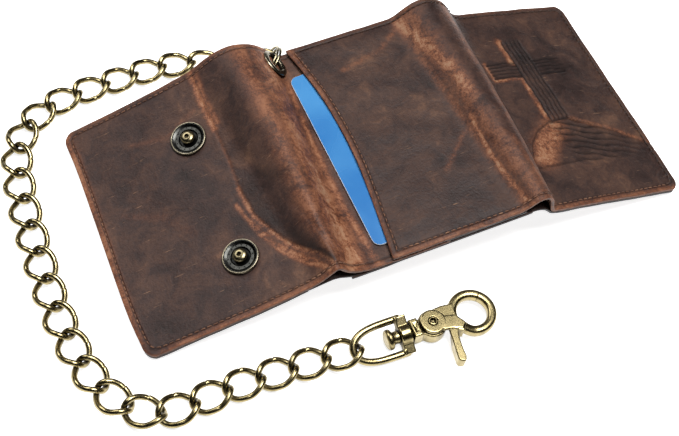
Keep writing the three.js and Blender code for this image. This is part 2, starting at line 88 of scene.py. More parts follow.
# ---------- materials ----------
class Graph:
    """A material's node tree; inputs are constants or sockets of other nodes."""

    def __init__(self, name):
        self.material = bpy.data.materials.new(name)
        self.material.use_nodes = True
        self.tree = self.material.node_tree
        self.shader = self.tree.nodes["Principled BSDF"]

    def add(self, kind, inputs=None, out=0, **settings):
        node = self.tree.nodes.new(kind)
        for key, value in settings.items():
            setattr(node, key, value)
        for key, value in (inputs or {}).items():
            self.put(node.inputs[key], value)
        return node.outputs[out]

    def put(self, socket, value):
        if isinstance(value, bpy.types.NodeSocket):
            self.tree.links.new(value, socket)
        else:
            socket.default_value = value

    def noise(self, vector, scale, detail=4.0, rough=0.55, twist=0.0):
        return self.add("ShaderNodeTexNoise", {
            "Vector": vector, "Scale": scale, "Detail": detail, "Roughness": rough, "Distortion": twist})

    def math(self, what, a, b=0.0, clamp=False):
        return self.add("ShaderNodeMath", {0: a, 1: b}, operation=what, use_clamp=clamp)

    def weighted(self, first, *rest):
        """The sum of (value, weight) pairs."""
        total = self.math("MULTIPLY", *first)
        for value, weight in rest:
            total = self.math("ADD", total, self.math("MULTIPLY", value, weight))
        return total

    def range(self, value, low, high, to_low=0.0, to_high=1.0):
        return self.add("ShaderNodeMapRange", {
            "Value": value, "From Min": low, "From Max": high, "To Min": to_low, "To Max": to_high})

    def ramp(self, value, stops):
        node = self.tree.nodes.new("ShaderNodeValToRGB")
        self.tree.links.new(value, node.inputs[0])
        ramp = node.color_ramp
        while len(ramp.elements) < len(stops):
            ramp.elements.new(0.5)
        for element, (at, colour) in zip(ramp.elements, stops):
            element.position = at
            element.color = (*colour, 1)
        return node.outputs[0]

    def mix(self, factor, a, b, blend="MIX"):
        node = self.tree.nodes.new("ShaderNodeMix")
        node.data_type = "RGBA"
        node.blend_type = blend
        self.put(node.inputs[0], factor)
        self.put(node.inputs[6], a if isinstance(a, bpy.types.NodeSocket) else (*a, 1))
        self.put(node.inputs[7], b if isinstance(b, bpy.types.NodeSocket) else (*b, 1))
        return node.outputs[2]

    def attribute(self, name):
        return self.add("ShaderNodeAttribute", out=2, attribute_name=name)

    def position(self):
        """A point's place in the piece's own metres."""
        return self.add("ShaderNodeTexCoord", out=3)

    def bump(self, height, strength, distance):
        return self.add("ShaderNodeBump", {"Height": height, "Strength": strength, "Distance": distance})

    def finish(self, **sockets):
        for key, value in sockets.items():
            self.put(self.shader.inputs[key.replace("_", " ")], value)
        return self.material


# The leather's colours, from its darkest tone to where it is rubbed to the raw hide. The darkest also paints
# shade along the seams; the inked colour darkens the tooling's cuts and paints shade in the left fold's
# hollows and beside its crease.
DARK = (0.0095, 0.0050, 0.0044)
BROWN = (0.033, 0.0170, 0.0140)
WARM = (0.066, 0.033, 0.023)
TAN = (0.145, 0.072, 0.042)
PALE = (0.30, 0.165, 0.095)
ORANGE = (0.27, 0.083, 0.031)
RAW = (0.20, 0.070, 0.032)
DARK_TOOLING_AND_SHADE = (0.005, 0.003, 0.003)


def leather(name, offset, lightness=1.0):
    """Oiled, rubbed leather: clouded brown, orange where it is rubbed, fine pale scratches."""
    g = Graph(name)
    uv = g.add("ShaderNodeUVMap", uv_map="flat")
    base = g.add("ShaderNodeMapping", {"Vector": uv, "Location": (offset, offset * 0.7, 0)})
    broad = g.noise(base, 2.6, 4.0, 0.6, 0.5)
    middle = g.noise(base, 11.0, 6.0, 0.62, 0.9)
    fine = g.noise(base, 70.0, 4.0, 0.6)
    speck = g.noise(base, 190.0, 3.0, 0.7)
    cloud = g.weighted((broad, 0.46), (middle, 0.32), (fine, 0.15), (speck, 0.09))
    colour = g.ramp(cloud, [(0.36, DARK), (0.47, BROWN), (0.56, WARM), (0.66, TAN), (0.80, PALE)])
    wear = g.attribute("wear")
    patchy = g.weighted((g.noise(base, 9.0, 7.0, 0.68, 1.2), 0.5), (fine, 0.25), (speck, 0.25))
    patchy = g.range(patchy, 0.43, 0.56)
    rubbed = g.math("MULTIPLY", wear, g.math("ADD", g.math("MULTIPLY", patchy, 0.85), 0.15), clamp=True)
    colour = g.mix(rubbed, colour, ORANGE)
    glow = g.math("MULTIPLY", g.math("POWER", rubbed, 2.2), patchy, clamp=True)
    colour = g.mix(glow, colour, PALE)
    scratches = None
    for turn, size in ((0.5, 7.0), (1.9, 9.0), (2.75, 6.0), (1.1, 14.0)):
        stretched = g.add("ShaderNodeMapping", {
            "Vector": base, "Rotation": (0, 0, turn), "Scale": (1, 16, 1),
            "Location": (turn * 3, turn, 0)})
        streak = g.range(g.noise(stretched, size, 2.0, 0.5, 0.25), 0.705, 0.75)
        scratches = streak if scratches is None else g.math("MAXIMUM", scratches, streak)
    broken = g.range(g.noise(base, 30.0, 3.0), 0.42, 0.62)
    scratches = g.math("MULTIPLY", g.math("MULTIPLY", scratches, broken), 0.55, clamp=True)
    colour = g.mix(scratches, colour, PALE)
    edge = g.attribute("edge")
    near_edge = g.range(edge, 0.0, 0.6, 1.0, 0.0)
    near_edge = g.math("MULTIPLY", near_edge, g.range(middle, 0.35, 0.62, 0.25, 0.9), clamp=True)
    colour = g.mix(near_edge, colour, RAW)
    seam = g.math("ABSOLUTE", g.math("SUBTRACT", edge, 2.5))
    groove_and_shade = g.range(seam, 0.15, 0.75, 1.0, 0.0)
    # Painted shade: the darkest colour laid along each stitch line, where the seam's groove lies; the same
    # mask dents the bump below.
    colour = g.mix(g.math("MULTIPLY", groove_and_shade, 0.6), colour, DARK)
    # Darkened in the tooling's cuts, and painted shade in the left fold's hollows and beside its crease.
    tool = g.attribute("tool")
    colour = g.mix(g.math("MULTIPLY", tool, 0.88, clamp=True), colour, DARK_TOOLING_AND_SHADE)
    if lightness != 1.0:
        colour = g.mix(1.0, colour, (lightness,) * 3, "MULTIPLY")
    pores = g.add("ShaderNodeTexVoronoi", {"Vector": base, "Scale": 130.0, "Randomness": 1.0})
    height = g.weighted((fine, 0.6), (pores, 0.25), (middle, 0.9), (groove_and_shade, -0.9), (scratches, -0.35))
    rough = g.range(cloud, 0.35, 0.7, 0.46, 0.66)
    return g.finish(Base_Color=colour, Roughness=rough, Normal=g.bump(height, 0.6, 0.0005),
                    Specular_IOR_Level=0.24)


def raw_edge(name, offset, dark, middle, light):
    """A cut edge: two or three pressed layers, burnished here and there."""
    g = Graph(name)
    uv = g.add("ShaderNodeUVMap", uv_map="flat")
    base = g.add("ShaderNodeMapping", {"Vector": uv, "Location": (offset, 0, 0)})
    depth = g.attribute("depth")
    cloud = g.noise(base, 26.0, 5.0, 0.65, 0.6)
    layers = g.add("ShaderNodeTexWave", {
        "Vector": g.add("ShaderNodeCombineXYZ", {0: depth, 1: g.math("MULTIPLY", cloud, 0.25)}),
        "Scale": 0.62, "Distortion": 1.2, "Detail": 2.0}, out=1)
    tone = g.weighted((cloud, 0.8), (layers, 0.22))
    between = [(a + b) / 2 for a, b in zip(dark, middle)]
    colour = g.ramp(tone, [(0.32, dark), (0.47, between), (0.60, middle), (0.78, light)])
    fine = g.noise(base, 110.0, 3.0)
    height = g.math("ADD", g.math("MULTIPLY", layers, 0.5), fine)
    return g.finish(Base_Color=colour, Roughness=0.62, Normal=g.bump(height, 0.5, 0.0004))


def metal(name, bright, dark, rough, patina):
    """Plated cast metal: a bright base; dark in the recesses, partly patina and partly painted shade, also
    where parts touch each other and the floor; patchy patina; fine brushing.
    """
    g = Graph(name)
    place_at = g.position()
    cloud = g.noise(place_at, 260.0, 4.0, 0.6, 0.4)
    speck = g.noise(place_at, 1400.0, 3.0, 0.6)
    # Ambient occlusion darkens the recesses: patina in the hollows, and painted shade where parts touch each
    # other and near the floor.
    occlusion = g.add("ShaderNodeAmbientOcclusion", {"Distance": 0.0034}, out=1, samples=6)
    recess_patina_and_shade = g.range(occlusion, 0.36, 0.90, 1.0, 0.0)
    patina_and_shade = g.math("ADD", recess_patina_and_shade, g.range(cloud, 0.42, 0.68, 0.0, patina), clamp=True)
    patina_and_shade = g.math("ADD", patina_and_shade, g.range(speck, 0.60, 0.78, 0.0, 0.06), clamp=True)
    colour = g.mix(patina_and_shade, bright, dark)
    roughness = g.math("ADD", g.math("MULTIPLY", patina_and_shade, 0.25), rough)
    stretched = g.add("ShaderNodeMapping", {"Vector": place_at, "Scale": (1, 9, 3)})
    brushing = g.noise(stretched, 900.0, 2.0)
    return g.finish(Base_Color=colour, Metallic=1.0, Roughness=roughness,
                    Normal=g.bump(brushing, 0.035, 0.0002))


def thread_look(name, lightness):
    """Twisted waxed thread."""
    g = Graph(name)
    place_at = g.position()
    cloud = g.noise(place_at, 300.0, 4.0, 0.6)
    colour = g.ramp(cloud, [
        (0.35, (0.085, 0.036, 0.020)), (0.55, (0.17, 0.075, 0.040)), (0.72, (0.28, 0.150, 0.085))])
    colour = g.mix(1.0, colour, (lightness,) * 3, "MULTIPLY")
    twist = g.add("ShaderNodeTexWave", {"Vector": place_at, "Scale": 900.0, "Distortion": 1.5}, out=1)
    return g.finish(Base_Color=colour, Roughness=0.7, Normal=g.bump(twist, 0.3, 0.0002))


def card_look():
    """Plain blue plastic with a fine satin grain."""
    g = Graph("card_plastic")
    place_at = g.position()
    cloud = g.noise(place_at, 24.0, 3.0, 0.5, 0.3)
    colour = g.ramp(cloud, [(0.35, (0.019, 0.140, 0.39)), (0.65, (0.040, 0.215, 0.48))])
    fine = g.noise(place_at, 2600.0, 2.0)
    return g.finish(Base_Color=colour, Roughness=g.range(cloud, 0.3, 0.7, 0.22, 0.34),
                    Normal=g.bump(fine, 0.03, 0.0001))


def card_rim():
    """The card's paler cut edge."""
    g = Graph("card_rim")
    cloud = g.noise(g.position(), 200.0, 3.0)
    colour = g.ramp(cloud, [(0.3, (0.55, 0.68, 0.85)), (0.7, (0.80, 0.87, 0.95))])
    return g.finish(Base_Color=colour, Roughness=0.4)


def window_look():
    """Clear, slightly clouded film."""
    g = Graph("clear_window")
    cloud = g.noise(g.position(), 160.0, 3.0, 0.6, 0.5)
    return g.finish(Base_Color=(0.9, 0.93, 0.94, 1), Transmission_Weight=0.85,
                    Roughness=g.range(cloud, 0.3, 0.7, 0.08, 0.2), IOR=1.45)


SKIN = leather("worn_leather", 0.0, 1.04)
SKIN_RIGHT = leather("worn_leather_right", 3.7, 0.87)
LINING = leather("lining_leather", 7.3, 0.75)
EDGE = raw_edge("cut_edge", 0.0, (0.015, 0.007, 0.005), (0.150, 0.055, 0.026), (0.27, 0.115, 0.055))
EDGE_INNER = raw_edge("inner_edge", 2.0, (0.010, 0.010, 0.010), (0.034, 0.033, 0.033), (0.060, 0.057, 0.055))
INNER = [LINING, EDGE_INNER]
BRASS = metal("antique_brass", (0.35, 0.285, 0.140), (0.016, 0.012, 0.007), 0.22, 0.35)
SATIN = metal("satin_brass", (0.38, 0.33, 0.21), (0.022, 0.018, 0.012), 0.2, 0.3)
GUN = metal("gunmetal", (0.045, 0.045, 0.041), (0.008, 0.008, 0.008), 0.22, 0.4)
PEWTER = metal("old_pewter", (0.24, 0.21, 0.15), (0.020, 0.017, 0.013), 0.24, 0.4)
STEEL = metal("spring_steel", (0.55, 0.55, 0.54), (0.12, 0.12, 0.12), 0.3, 0.3)
POST = metal("rubbed_brass", (0.25, 0.21, 0.12), (0.014, 0.011, 0.007), 0.24, 0.4)
THREAD = thread_look("waxed_thread", 1.0)
THREAD_DARK = thread_look("oiled_thread", 0.3)
CARD_FACE = card_look()
CARD_RIM = card_rim()
WINDOW = window_look()


# ---------- mesh building ----------
def build(name, vertices, faces, looks, shades=None, uv=None, attributes=None, smooth=True):
    """An object from wallet-frame vertices; shades is each face's material index."""
    mesh = bpy.data.meshes.new(name)
    points = np.asarray(vertices, float) * MM + np.array(ORIGIN)
    mesh.from_pydata(points.tolist(), [], [list(f) for f in faces])
    for look in looks:
        mesh.materials.append(look)
    if shades is not None:
        mesh.polygons.foreach_set("material_index", np.asarray(shades, np.int32))
    mesh.polygons.foreach_set("use_smooth", [smooth] * len(mesh.polygons))
    if uv is not None:
        layer = mesh.uv_layers.new(name="flat")
        corners = np.empty(len(mesh.loops), np.int32)
        mesh.loops.foreach_get("vertex_index", corners)
        layer.data.foreach_set("uv", np.asarray(uv, np.float32)[corners].ravel())
    for key, values in (attributes or {}).items():
        mesh.attributes.new(key, "FLOAT", "POINT").data.foreach_set("value", np.asarray(values, np.float32))
    mesh.update()
    obj = bpy.data.objects.new(name, mesh)
    bpy.context.scene.collection.objects.link(obj)
    return obj


def tube(path, radius, sides=12, closed=True):
    """Vertices and faces of a tube along a path; radius may vary along it."""
    path = np.asarray(path, float)
    count = len(path)
    radius = np.broadcast_to(radius, count)
    if closed:
        ahead = np.roll(path, -1, 0) - np.roll(path, 1, 0)
    else:
        ahead = np.gradient(path, axis=0)
    ahead /= np.linalg.norm(ahead, axis=1)[:, None]
    side = np.cross(ahead[0], (0.31, 0.17, 0.93))
    side /= np.linalg.norm(side)
    vertices = []
    for i in range(count):
        side = side - ahead[i] * (side @ ahead[i])
        side /= np.linalg.norm(side)
        up = np.cross(ahead[i], side)
        for k in range(sides):
            a = 2 * math.pi * k / sides
            vertices.append(path[i] + radius[i] * (math.cos(a) * side + math.sin(a) * up))
    faces = []
    for i in range(count if closed else count - 1):
        j = (i + 1) % count
        for k in range(sides):
            m = (k + 1) % sides
            faces.append((i * sides + k, i * sides + m, j * sides + m, j * sides + k))
    if not closed:
        faces.append(tuple(range(sides))[::-1])
        faces.append(tuple((count - 1) * sides + k for k in range(sides)))
    return vertices, faces


def turned(profile, segments=64):
    """A turned solid about z; the profile runs from axis to axis, or is a closed ring if it misses it."""
    ring = profile[0][0] > 0 and profile[-1][0] > 0
    rows = list(profile) + ([profile[0]] if ring else [])
    vertices = []
    index = []
    for r, z in rows[:-1] if ring else rows:
        if r == 0:
            index.append([len(vertices)] * segments)
            vertices.append((0, 0, z))
        else:
            start = len(vertices)
            index.append(list(range(start, start + segments)))
            for k in range(segments):
                a = 2 * math.pi * k / segments
                vertices.append((r * math.cos(a), r * math.sin(a), z))
    if ring:
        index.append(index[0])
    faces = []
    for low, high in zip(index, index[1:]):
        for k in range(segments):
            m = (k + 1) % segments
            face = []
            for corner in (low[k], low[m], high[m], high[k]):
                if corner not in face:
                    face.append(corner)
            if len(face) > 2:
                faces.append(tuple(face))
    return vertices, faces


def rounded(profile, radius=0.15, steps=3):
    """The profile with each inner corner replaced by a short arc."""
    points = [Vector(p) for p in profile]
    result = [points[0]]
    for before, corner, after in zip(points, points[1:], points[2:]):
        a = before - corner
        b = after - corner
        cut = min(radius, a.length * 0.45, b.length * 0.45)
        start = corner + a.normalized() * cut
        end = corner + b.normalized() * cut
        for i in range(steps + 1):
            t = i / steps
            result.append((1 - t) ** 2 * start + 2 * t * (1 - t) * corner + t * t * end)
    result.append(points[-1])
    return [(p.x, p.y) for p in result]


def moved(part, matrix):
    vertices, faces = part
    return [matrix @ Vector(v) for v in vertices], faces


def join(parts):
    """Several parts as one."""
    vertices = []
    faces = []
    for part_vertices, part_faces in parts:
        start = len(vertices)
        vertices.extend(part_vertices)
        faces.extend(tuple(i + start for i in f) for f in part_faces)
    return vertices, faces


def outward(obj):
    """The object, with all its faces turned outward."""
    mesh = bmesh.new()
    mesh.from_mesh(obj.data)
    bmesh.ops.recalc_face_normals(mesh, faces=mesh.faces)
    mesh.to_mesh(obj.data)
    mesh.free()
    return obj


def rides(obj, body, slot, *nodes):
    """A piece that moves with one body and stands for CAD nodes."""
    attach(obj, body)
    if nodes:
        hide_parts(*nodes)
    return obj


def bends(obj, fold, slot, *nodes):
    """A piece that stands for CAD nodes, with its transform baked into its mesh. The fold is not used."""
    if nodes:
        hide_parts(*nodes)
    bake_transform(obj)


def one_look(name, part, look):
    """An object from a part, all in one material."""
    return outward(build(name, *part, [look]))


def simple(name, part, look, body, slot, *nodes):
    """A piece of one part and one material on one body."""
    return rides(one_look(name, part, look), body, slot, *nodes)


def lathe(name, profile, segments, at, look, body, slot, *nodes):
    """A piece turned from a profile, standing at a matrix."""
    simple(name, moved(turned(profile, segments), at), look, body, slot, *nodes)


# ---------- the leather's surfaces ----------
def curve(points, samples=360):
    """Smooth curve through points in x and z, spaced by chord length, with x always increasing."""
    points = np.asarray(points, float)
    knots = np.concatenate([[0], np.cumsum(np.linalg.norm(np.diff(points, axis=0), axis=1) ** 0.8)])
    slopes = np.empty_like(points)
    for i in range(1, len(points) - 1):
        h0 = knots[i] - knots[i - 1]
        h1 = knots[i + 1] - knots[i]
        d0 = (points[i] - points[i - 1]) / h0
        d1 = (points[i + 1] - points[i]) / h1
        slopes[i] = (d0 * h1 + d1 * h0) / (h0 + h1)
    slopes[0] = (points[1] - points[0]) / knots[1]
    slopes[-1] = (points[-1] - points[-2]) / (knots[-1] - knots[-2])
    at = np.linspace(0, knots[-1], samples)
    cell = np.clip(np.searchsorted(knots, at, "right") - 1, 0, len(points) - 2)
    h = (knots[cell + 1] - knots[cell])[:, None]
    t = ((at - knots[cell]) / (knots[cell + 1] - knots[cell]))[:, None]
    result = ((2 * t ** 3 - 3 * t ** 2 + 1) * points[cell] + (t ** 3 - 2 * t ** 2 + t) * h * slopes[cell]
              + (3 * t ** 2 - 2 * t ** 3) * points[cell + 1] + (t ** 3 - t ** 2) * h * slopes[cell + 1])
    x = np.maximum.accumulate(result[:, 0] + np.arange(samples) * 1e-7)
    return x, result[:, 1]


class Surface:
    """A height z over x and y, from three sections: near edge, middle and far edge."""

    def __init__(self, near, middle, far, ripple=0.0):
        self.sections = [np.asarray(s, float) for s in (near, middle, far)]
        self.ripple = ripple
        self.rows = {}

    def row(self, v):
        key = round(float(v), 3)
        if key not in self.rows:
            t = key / HEIGHT
            weights = ((1 - t) * (1 - 2 * t), 4 * t * (1 - t), t * (2 * t - 1))
            x, z = curve(sum(w * s for w, s in zip(weights, self.sections)))
            if self.ripple:
                z = z + [self.ripple * (noise.noise((a / 17, key / 15, 1.7))
                                        + 0.4 * noise.noise((a / 7, key / 6, 4.1))) for a in x]
            step = np.hypot(np.diff(x), np.diff(z))
            self.rows[key] = (x, z, np.concatenate([[0], np.cumsum(step)]))
        return self.rows[key]

    def height(self, x, v):
        xs, zs, _ = self.row(v)
        return np.interp(x, xs, zs)

    def normals(self, x, v):
        e = 0.25
        dx = (self.height(x + e, v) - self.height(x - e, v)) / (2 * e)
        lo = max(v - 0.6, 0)
        hi = min(v + 0.6, HEIGHT)
        dv = (self.height(x, hi) - self.height(x, lo)) / (hi - lo)
        n = np.stack([-dx, -dv, np.ones_like(dx)], -1)
        return n / np.linalg.norm(n, axis=-1)[..., None]

    def point(self, x, v, lift=0.0):
        x = np.atleast_1d(np.asarray(x, float))
        p = np.stack([x, np.full_like(x, v), self.height(x, v)], -1)
        return p + self.normals(x, v) * lift


def tilted_surface(x0, z0, tilt, x1, lift):
    """A flat panel's plane at a height above its inner face, as a Surface."""
    a = math.radians(tilt)
    start = x0 - lift * math.sin(a)
    xs = np.linspace(start - 12, x1, 5)
    line = [(x, z0 + lift * math.cos(a) + (x - start) * math.tan(a)) for x in xs]
    return Surface(line, line, line)


def corner_start(v, v0, v1, radius):
    """How far the outline's rounded corner draws in at v."""
    d = np.minimum(v - v0, v1 - v)
    d = np.clip(radius - d, 0, radius)
    return radius - np.sqrt(np.maximum(radius ** 2 - d ** 2, 0))


def row_places(v0, v1, step, radius):
    """Where the rows of a piece lie: evenly, and closer together across its rounded corners."""
    arc = [radius * (1 - math.cos(a)) for a in np.linspace(0, math.pi / 2, 7)[:-1]]
    ends = arc[-1]
    inner = np.linspace(ends, v1 - v0 - ends, max(3, int((v1 - v0 - 2 * ends) / step) + 1))
    places = sorted(set(arc) | set(inner.tolist()) | {v1 - v0 - a for a in arc})
    return np.array(places) + v0


def strokes(x, v, lines):
    """Soft marks along polylines: each line is (points, width, strength)."""
    total = np.zeros_like(x)
    for points, width, strength in lines:
        nearest = np.full_like(x, 1e9)
        for (ax, ay), (bx, by) in zip(points, points[1:]):
            length = (bx - ax) ** 2 + (by - ay) ** 2
            t = np.clip(((x - ax) * (bx - ax) + (v - ay) * (by - ay)) / length, 0, 1)
            nearest = np.minimum(nearest, np.hypot(x - ax - t * (bx - ax), v - ay - t * (by - ay)))
        total = np.maximum(total, strength * np.exp(-(nearest / width) ** 2))
    return total


def value(f, *at):
    """A number, or what a function says at a place."""
    return f(*at) if callable(f) else f


def seam_distance(surface, v, s, span, v0, v1, radius, sewn):
    """Distance of a row's points from the sewn sides: l, r, n(ear) and f(ar)."""
    distance = np.full_like(s, 99.0)
    if "n" in sewn:
        distance = np.minimum(distance, v - v0)
    if "f" in sewn:
        distance = np.minimum(distance, v1 - v)
    xs, _, arc = surface.row(v)
    for side, at, r in zip("lr", span, radius):
        if side not in sewn:
            continue
        across = np.abs(s - np.interp(at, xs, arc))
        distance = np.minimum(distance, across)
        d = min(v - v0, v1 - v)
        if d < r:
            away = r - np.hypot(r - across, r - d)
            distance = np.where(across < r, np.minimum(distance, away), distance)
    return np.maximum(distance, 0)


def rolled_rim(upper, lower):
    """Five rings that round off a leather's cut edge, from its upper to its lower outline."""
    ahead = np.roll(upper, -1, 0) - np.roll(upper, 1, 0)
    normal = upper - lower
    deep = np.linalg.norm(normal, axis=1)[:, None]
    normal = normal / deep
    out = np.cross(ahead, normal)
    out /= np.maximum(np.linalg.norm(out, axis=1), 1e-9)[:, None]
    out = (np.roll(out, 1, 0) + out * 2 + np.roll(out, -1, 0)) / 4
    rings = []
    depths = []
    for a, b in ((0.62, 0.09), (0.92, 0.26), (1.0, 0.5), (0.92, 0.74), (0.62, 0.91)):
        rings.append(upper + out * ROUND * a - normal * deep * b)
        depths.append(np.full(len(upper), b) * deep[:, 0])
    return rings, depths


def hide(name, surface, start, stops, end, v0, v1, lift, thick, looks, step=1.2, radius=(0, 0),
         wear=None, relief=None, sewn="lrnf", row_step=1.2):
    """A leather piece lying on a surface. start and end are x, or functions of v; stops are
    (x, step) breaks where the spacing changes; lift and thick may be functions of x and v."""
    breaks = [start] + [x for x, _ in stops] + [end]
    steps = [step] + [s for _, s in stops]
    mid = (v0 + v1) / 2
    xs, _, arc = surface.row(mid)
    counts = []
    for a, b, s in zip(breaks, breaks[1:], steps):
        run = np.interp(value(b, mid), xs, arc) - np.interp(value(a, mid), xs, arc)
        counts.append(max(2, int(run / s)))
    top, low, flat, edge, marks, tools = [], [], [], [], [], []
    for v in row_places(v0 + ROUND, v1 - ROUND, row_step, max(radius)):
        xs, _, arc = surface.row(v)
        line = []
        for i, (a, b, n) in enumerate(zip(breaks, breaks[1:], counts)):
            xa = value(a, v)
            xb = value(b, v)
            if i == 0:
                xa += ROUND + corner_start(v, v0, v1, radius[0])
            if i == len(counts) - 1:
                xb -= ROUND + corner_start(v, v0, v1, radius[1])
            run = np.linspace(np.interp(xa, xs, arc), np.interp(xb, xs, arc), n + 1)
            line.append(np.interp(run if i == 0 else run[1:], arc, xs))
        x = np.concatenate(line)
        n = surface.normals(x, v)
        p = np.stack([x, np.full_like(x, v), surface.height(x, v)], -1)
        up = value(lift, x, v)
        dent, tool = relief(x, v) if relief else (0.0, np.zeros_like(x))
        top.append(p + n * np.reshape(up + dent, (-1, 1)))
        low.append(p + n * np.reshape(up - value(thick, x, v), (-1, 1)))
        s = np.interp(x, xs, arc)
        flat.append(np.stack([s, np.full_like(s, v)], -1) / 100)
        edge.append(seam_distance(surface, v, s, (value(start, v), value(end, v)), v0, v1, radius, sewn))
        marks.append(wear(x, np.full_like(x, v)) if wear else np.zeros_like(x))
        tools.append(tool)
    rows = len(top)
    cols = len(top[0])
    top, low = (np.array(side).reshape(-1, 3) for side in (top, low))
    edge, marks, tools = (np.array(values).ravel() for values in (edge, marks, tools))
    flat = np.array(flat).reshape(-1, 2)
    outline = ([(0, j) for j in range(cols)] + [(i, cols - 1) for i in range(1, rows)]
               + [(rows - 1, j) for j in range(cols - 2, -1, -1)] + [(i, 0) for i in range(rows - 2, 0, -1)])
    loop = np.array([i * cols + j for i, j in outline])
    rings, depths = rolled_rim(top[loop], low[loop])
    size = rows * cols
    count = len(loop)
    faces = []
    shades = []
    for i in range(rows - 1):
        for j in range(cols - 1):
            a = i * cols + j
            faces.append((a, a + 1, a + cols + 1, a + cols))
            faces.append((size + a, size + a + cols, size + a + cols + 1, size + a + 1))
            shades += [0, 0]
    levels = [loop] + [2 * size + k * count + np.arange(count) for k in range(5)] + [size + loop]
    for k, (upper, lower) in enumerate(zip(levels, levels[1:])):
        for i in range(count):
            j = (i + 1) % count
            faces.append((upper[j], upper[i], lower[i], lower[j]))
            shades.append(min(k, 1))
    attributes = {
        "edge": np.concatenate([edge, edge, np.zeros(5 * count)]),
        "wear": np.concatenate([marks, marks * 0, np.tile(marks[loop], 5)]),
        "tool": np.concatenate([tools, tools * 0, np.zeros(5 * count)]),
        "depth": np.concatenate([np.zeros(size), np.full(size, 1.5)] + depths),
    }
    return outward(build(name, np.concatenate([top, low] + rings), faces, looks, shades,
                         np.concatenate([flat, flat, np.tile(flat[loop], (5, 1))]), attributes))


def backing(name, surface, start, end, lift, thick, sewn, radius=(0, 0)):
    """Inner leather over a panel's whole height."""
    return hide(name, surface, start, [], end, 0, HEIGHT, lift, thick, INNER, 1.6, radius, sewn=sewn,
                row_step=1.8)


def fold_lining(name, surface, start, end):
    """Inner leather across a fold."""
    return hide(name, surface, start, [], end, 0.4, HEIGHT - 0.4, 0.0, 1.1, INNER, 1.2, sewn="", row_step=1.8)


def card_slot(name, surface, start, end, lift):
    """A thin pocket sheet for a card, with rounded corners."""
    return hide(name, surface, start, [], end, 4, HEIGHT - 4, lift, 0.6, INNER, 2.0, (2, 2), sewn="",
                row_step=2.4)


def thread(surface, line, lift, pitch=2.45, length=1.75, width=0.26, rise=0.12):
    """Stitches along a line of (x, v) points on a surface, as one part."""
    dense = []
    for (ax, av), (bx, bv) in zip(line, line[1:]):
        n = max(2, int(math.hypot(bx - ax, bv - av) / 0.4))
        for i in range(n):
            dense.append((ax + (bx - ax) * i / n, av + (bv - av) * i / n))
    dense.append(line[-1])
    points = np.array([surface.point(x, v, lift)[0] for x, v in dense])
    ups = np.array([surface.normals(np.array([x]), v)[0] for x, v in dense])
    if lift < 0:
        ups = -ups
    run = np.concatenate([[0], np.cumsum(np.linalg.norm(np.diff(points, axis=0), axis=1))])
    parts = []
    count = max(1, int(run[-1] / pitch))

    def along(at, values):
        return np.array([np.interp(at, run, values[:, k]) for k in range(3)])

    profile = ((-1.0, -0.9, 0.45), (-0.8, 0.1, 0.9), (-0.35, 1.0, 1.0), (0.35, 1.0, 1.0),
               (0.8, 0.1, 0.9), (1.0, -0.9, 0.45))
    for i in range(count):
        middle = (i + 0.5) * run[-1] / count + chance.uniform(-0.08, 0.08)
        path = []
        sizes = []
        sway = chance.uniform(-0.12, 0.12)
        for t, high, size in profile:
            at = middle + t * length / 2
            n = along(at, ups)
            side = np.cross(n, along(at + 0.3, points) - along(at - 0.3, points))
            side /= max(np.linalg.norm(side), 1e-9)
            path.append(along(at, points) + n * rise * high + side * sway * t)
            sizes.append(width * size)
        parts.append(tube(path, sizes, 7, closed=False))
    return join(parts)


# ---------- left piece: left panel, the slack fold and the tail under the pocket ----------
chance = random.Random(7)
# The bodies on the two sides of each fold, and where the bending starts and ends.
BEND_LEFT = ("left_panel", "middle", place((61, 0, 20)), place((82, 0, 20)))
BEND_RIGHT = ("middle", "right_panel", place((149, 0, 24)), place((165.5, 0, 24)))
SKIN_THICK = 1.6
LINING_THICK = 1.5
# How far the seams run inside the leather's edge.
IN = 2.5
left_top = Surface(
    [(-4.2, 3.2), (15, 6.8), (30, 10.5), (45, 14.3), (57, 17.7), (62.5, 19.7), (66, 21.8), (69, 24.6),
     (71.4, 26.4), (73.4, 25.6), (75.6, 23.2), (77.8, 21.4), (80.6, 20.2), (86, 19.0), (94, 19.0),
     (118, 21.1)],
    [(-4.2, 3.1), (15, 7.6), (30, 12.2), (45, 16.7), (54, 19.6), (58.5, 21.8), (62.5, 26.2), (66.5, 30.4),
     (70.5, 32.2), (75, 31), (79, 27), (82, 22.8), (84.6, 19.8), (87.6, 18.7), (94, 19.0), (118, 21.1)],
    [(-4.2, 3.1), (14, 9), (28, 14.5), (40, 19), (47, 22), (51.5, 24.6), (56.5, 28.5), (62.2, 31.9),
     (68.2, 33), (75.4, 31.3), (81.4, 26.9), (84.2, 23.7), (86.2, 20.4), (88.6, 19.0), (94, 19.0),
     (118, 21.1)],
    ripple=0.45)


def thinning(x, v):
    """The outer leather's thickness, skived where it goes under the middle overlay."""
    return SKIN_THICK - 0.35 * smoothstep(86, 92, x)


def left_start(v):
    """The left panel's outer edge, drawn in at its near end and out at its far end."""
    return -2.8 + 1.5 * math.exp(-(v / 14) ** 2) - 0.9 * math.exp(-((HEIGHT - v) / 14) ** 2)


# The crease at the foot of the left fold, from the far edge to the near one.
CREASE = [(50.3, 107), (50.2, 93.8), (51.2, 78.1), (51.8, 62), (51.2, 50), (52.6, 36.5), (58.4, 23),
          (63.4, 15.5), (68.3, 9), (71, 3)]


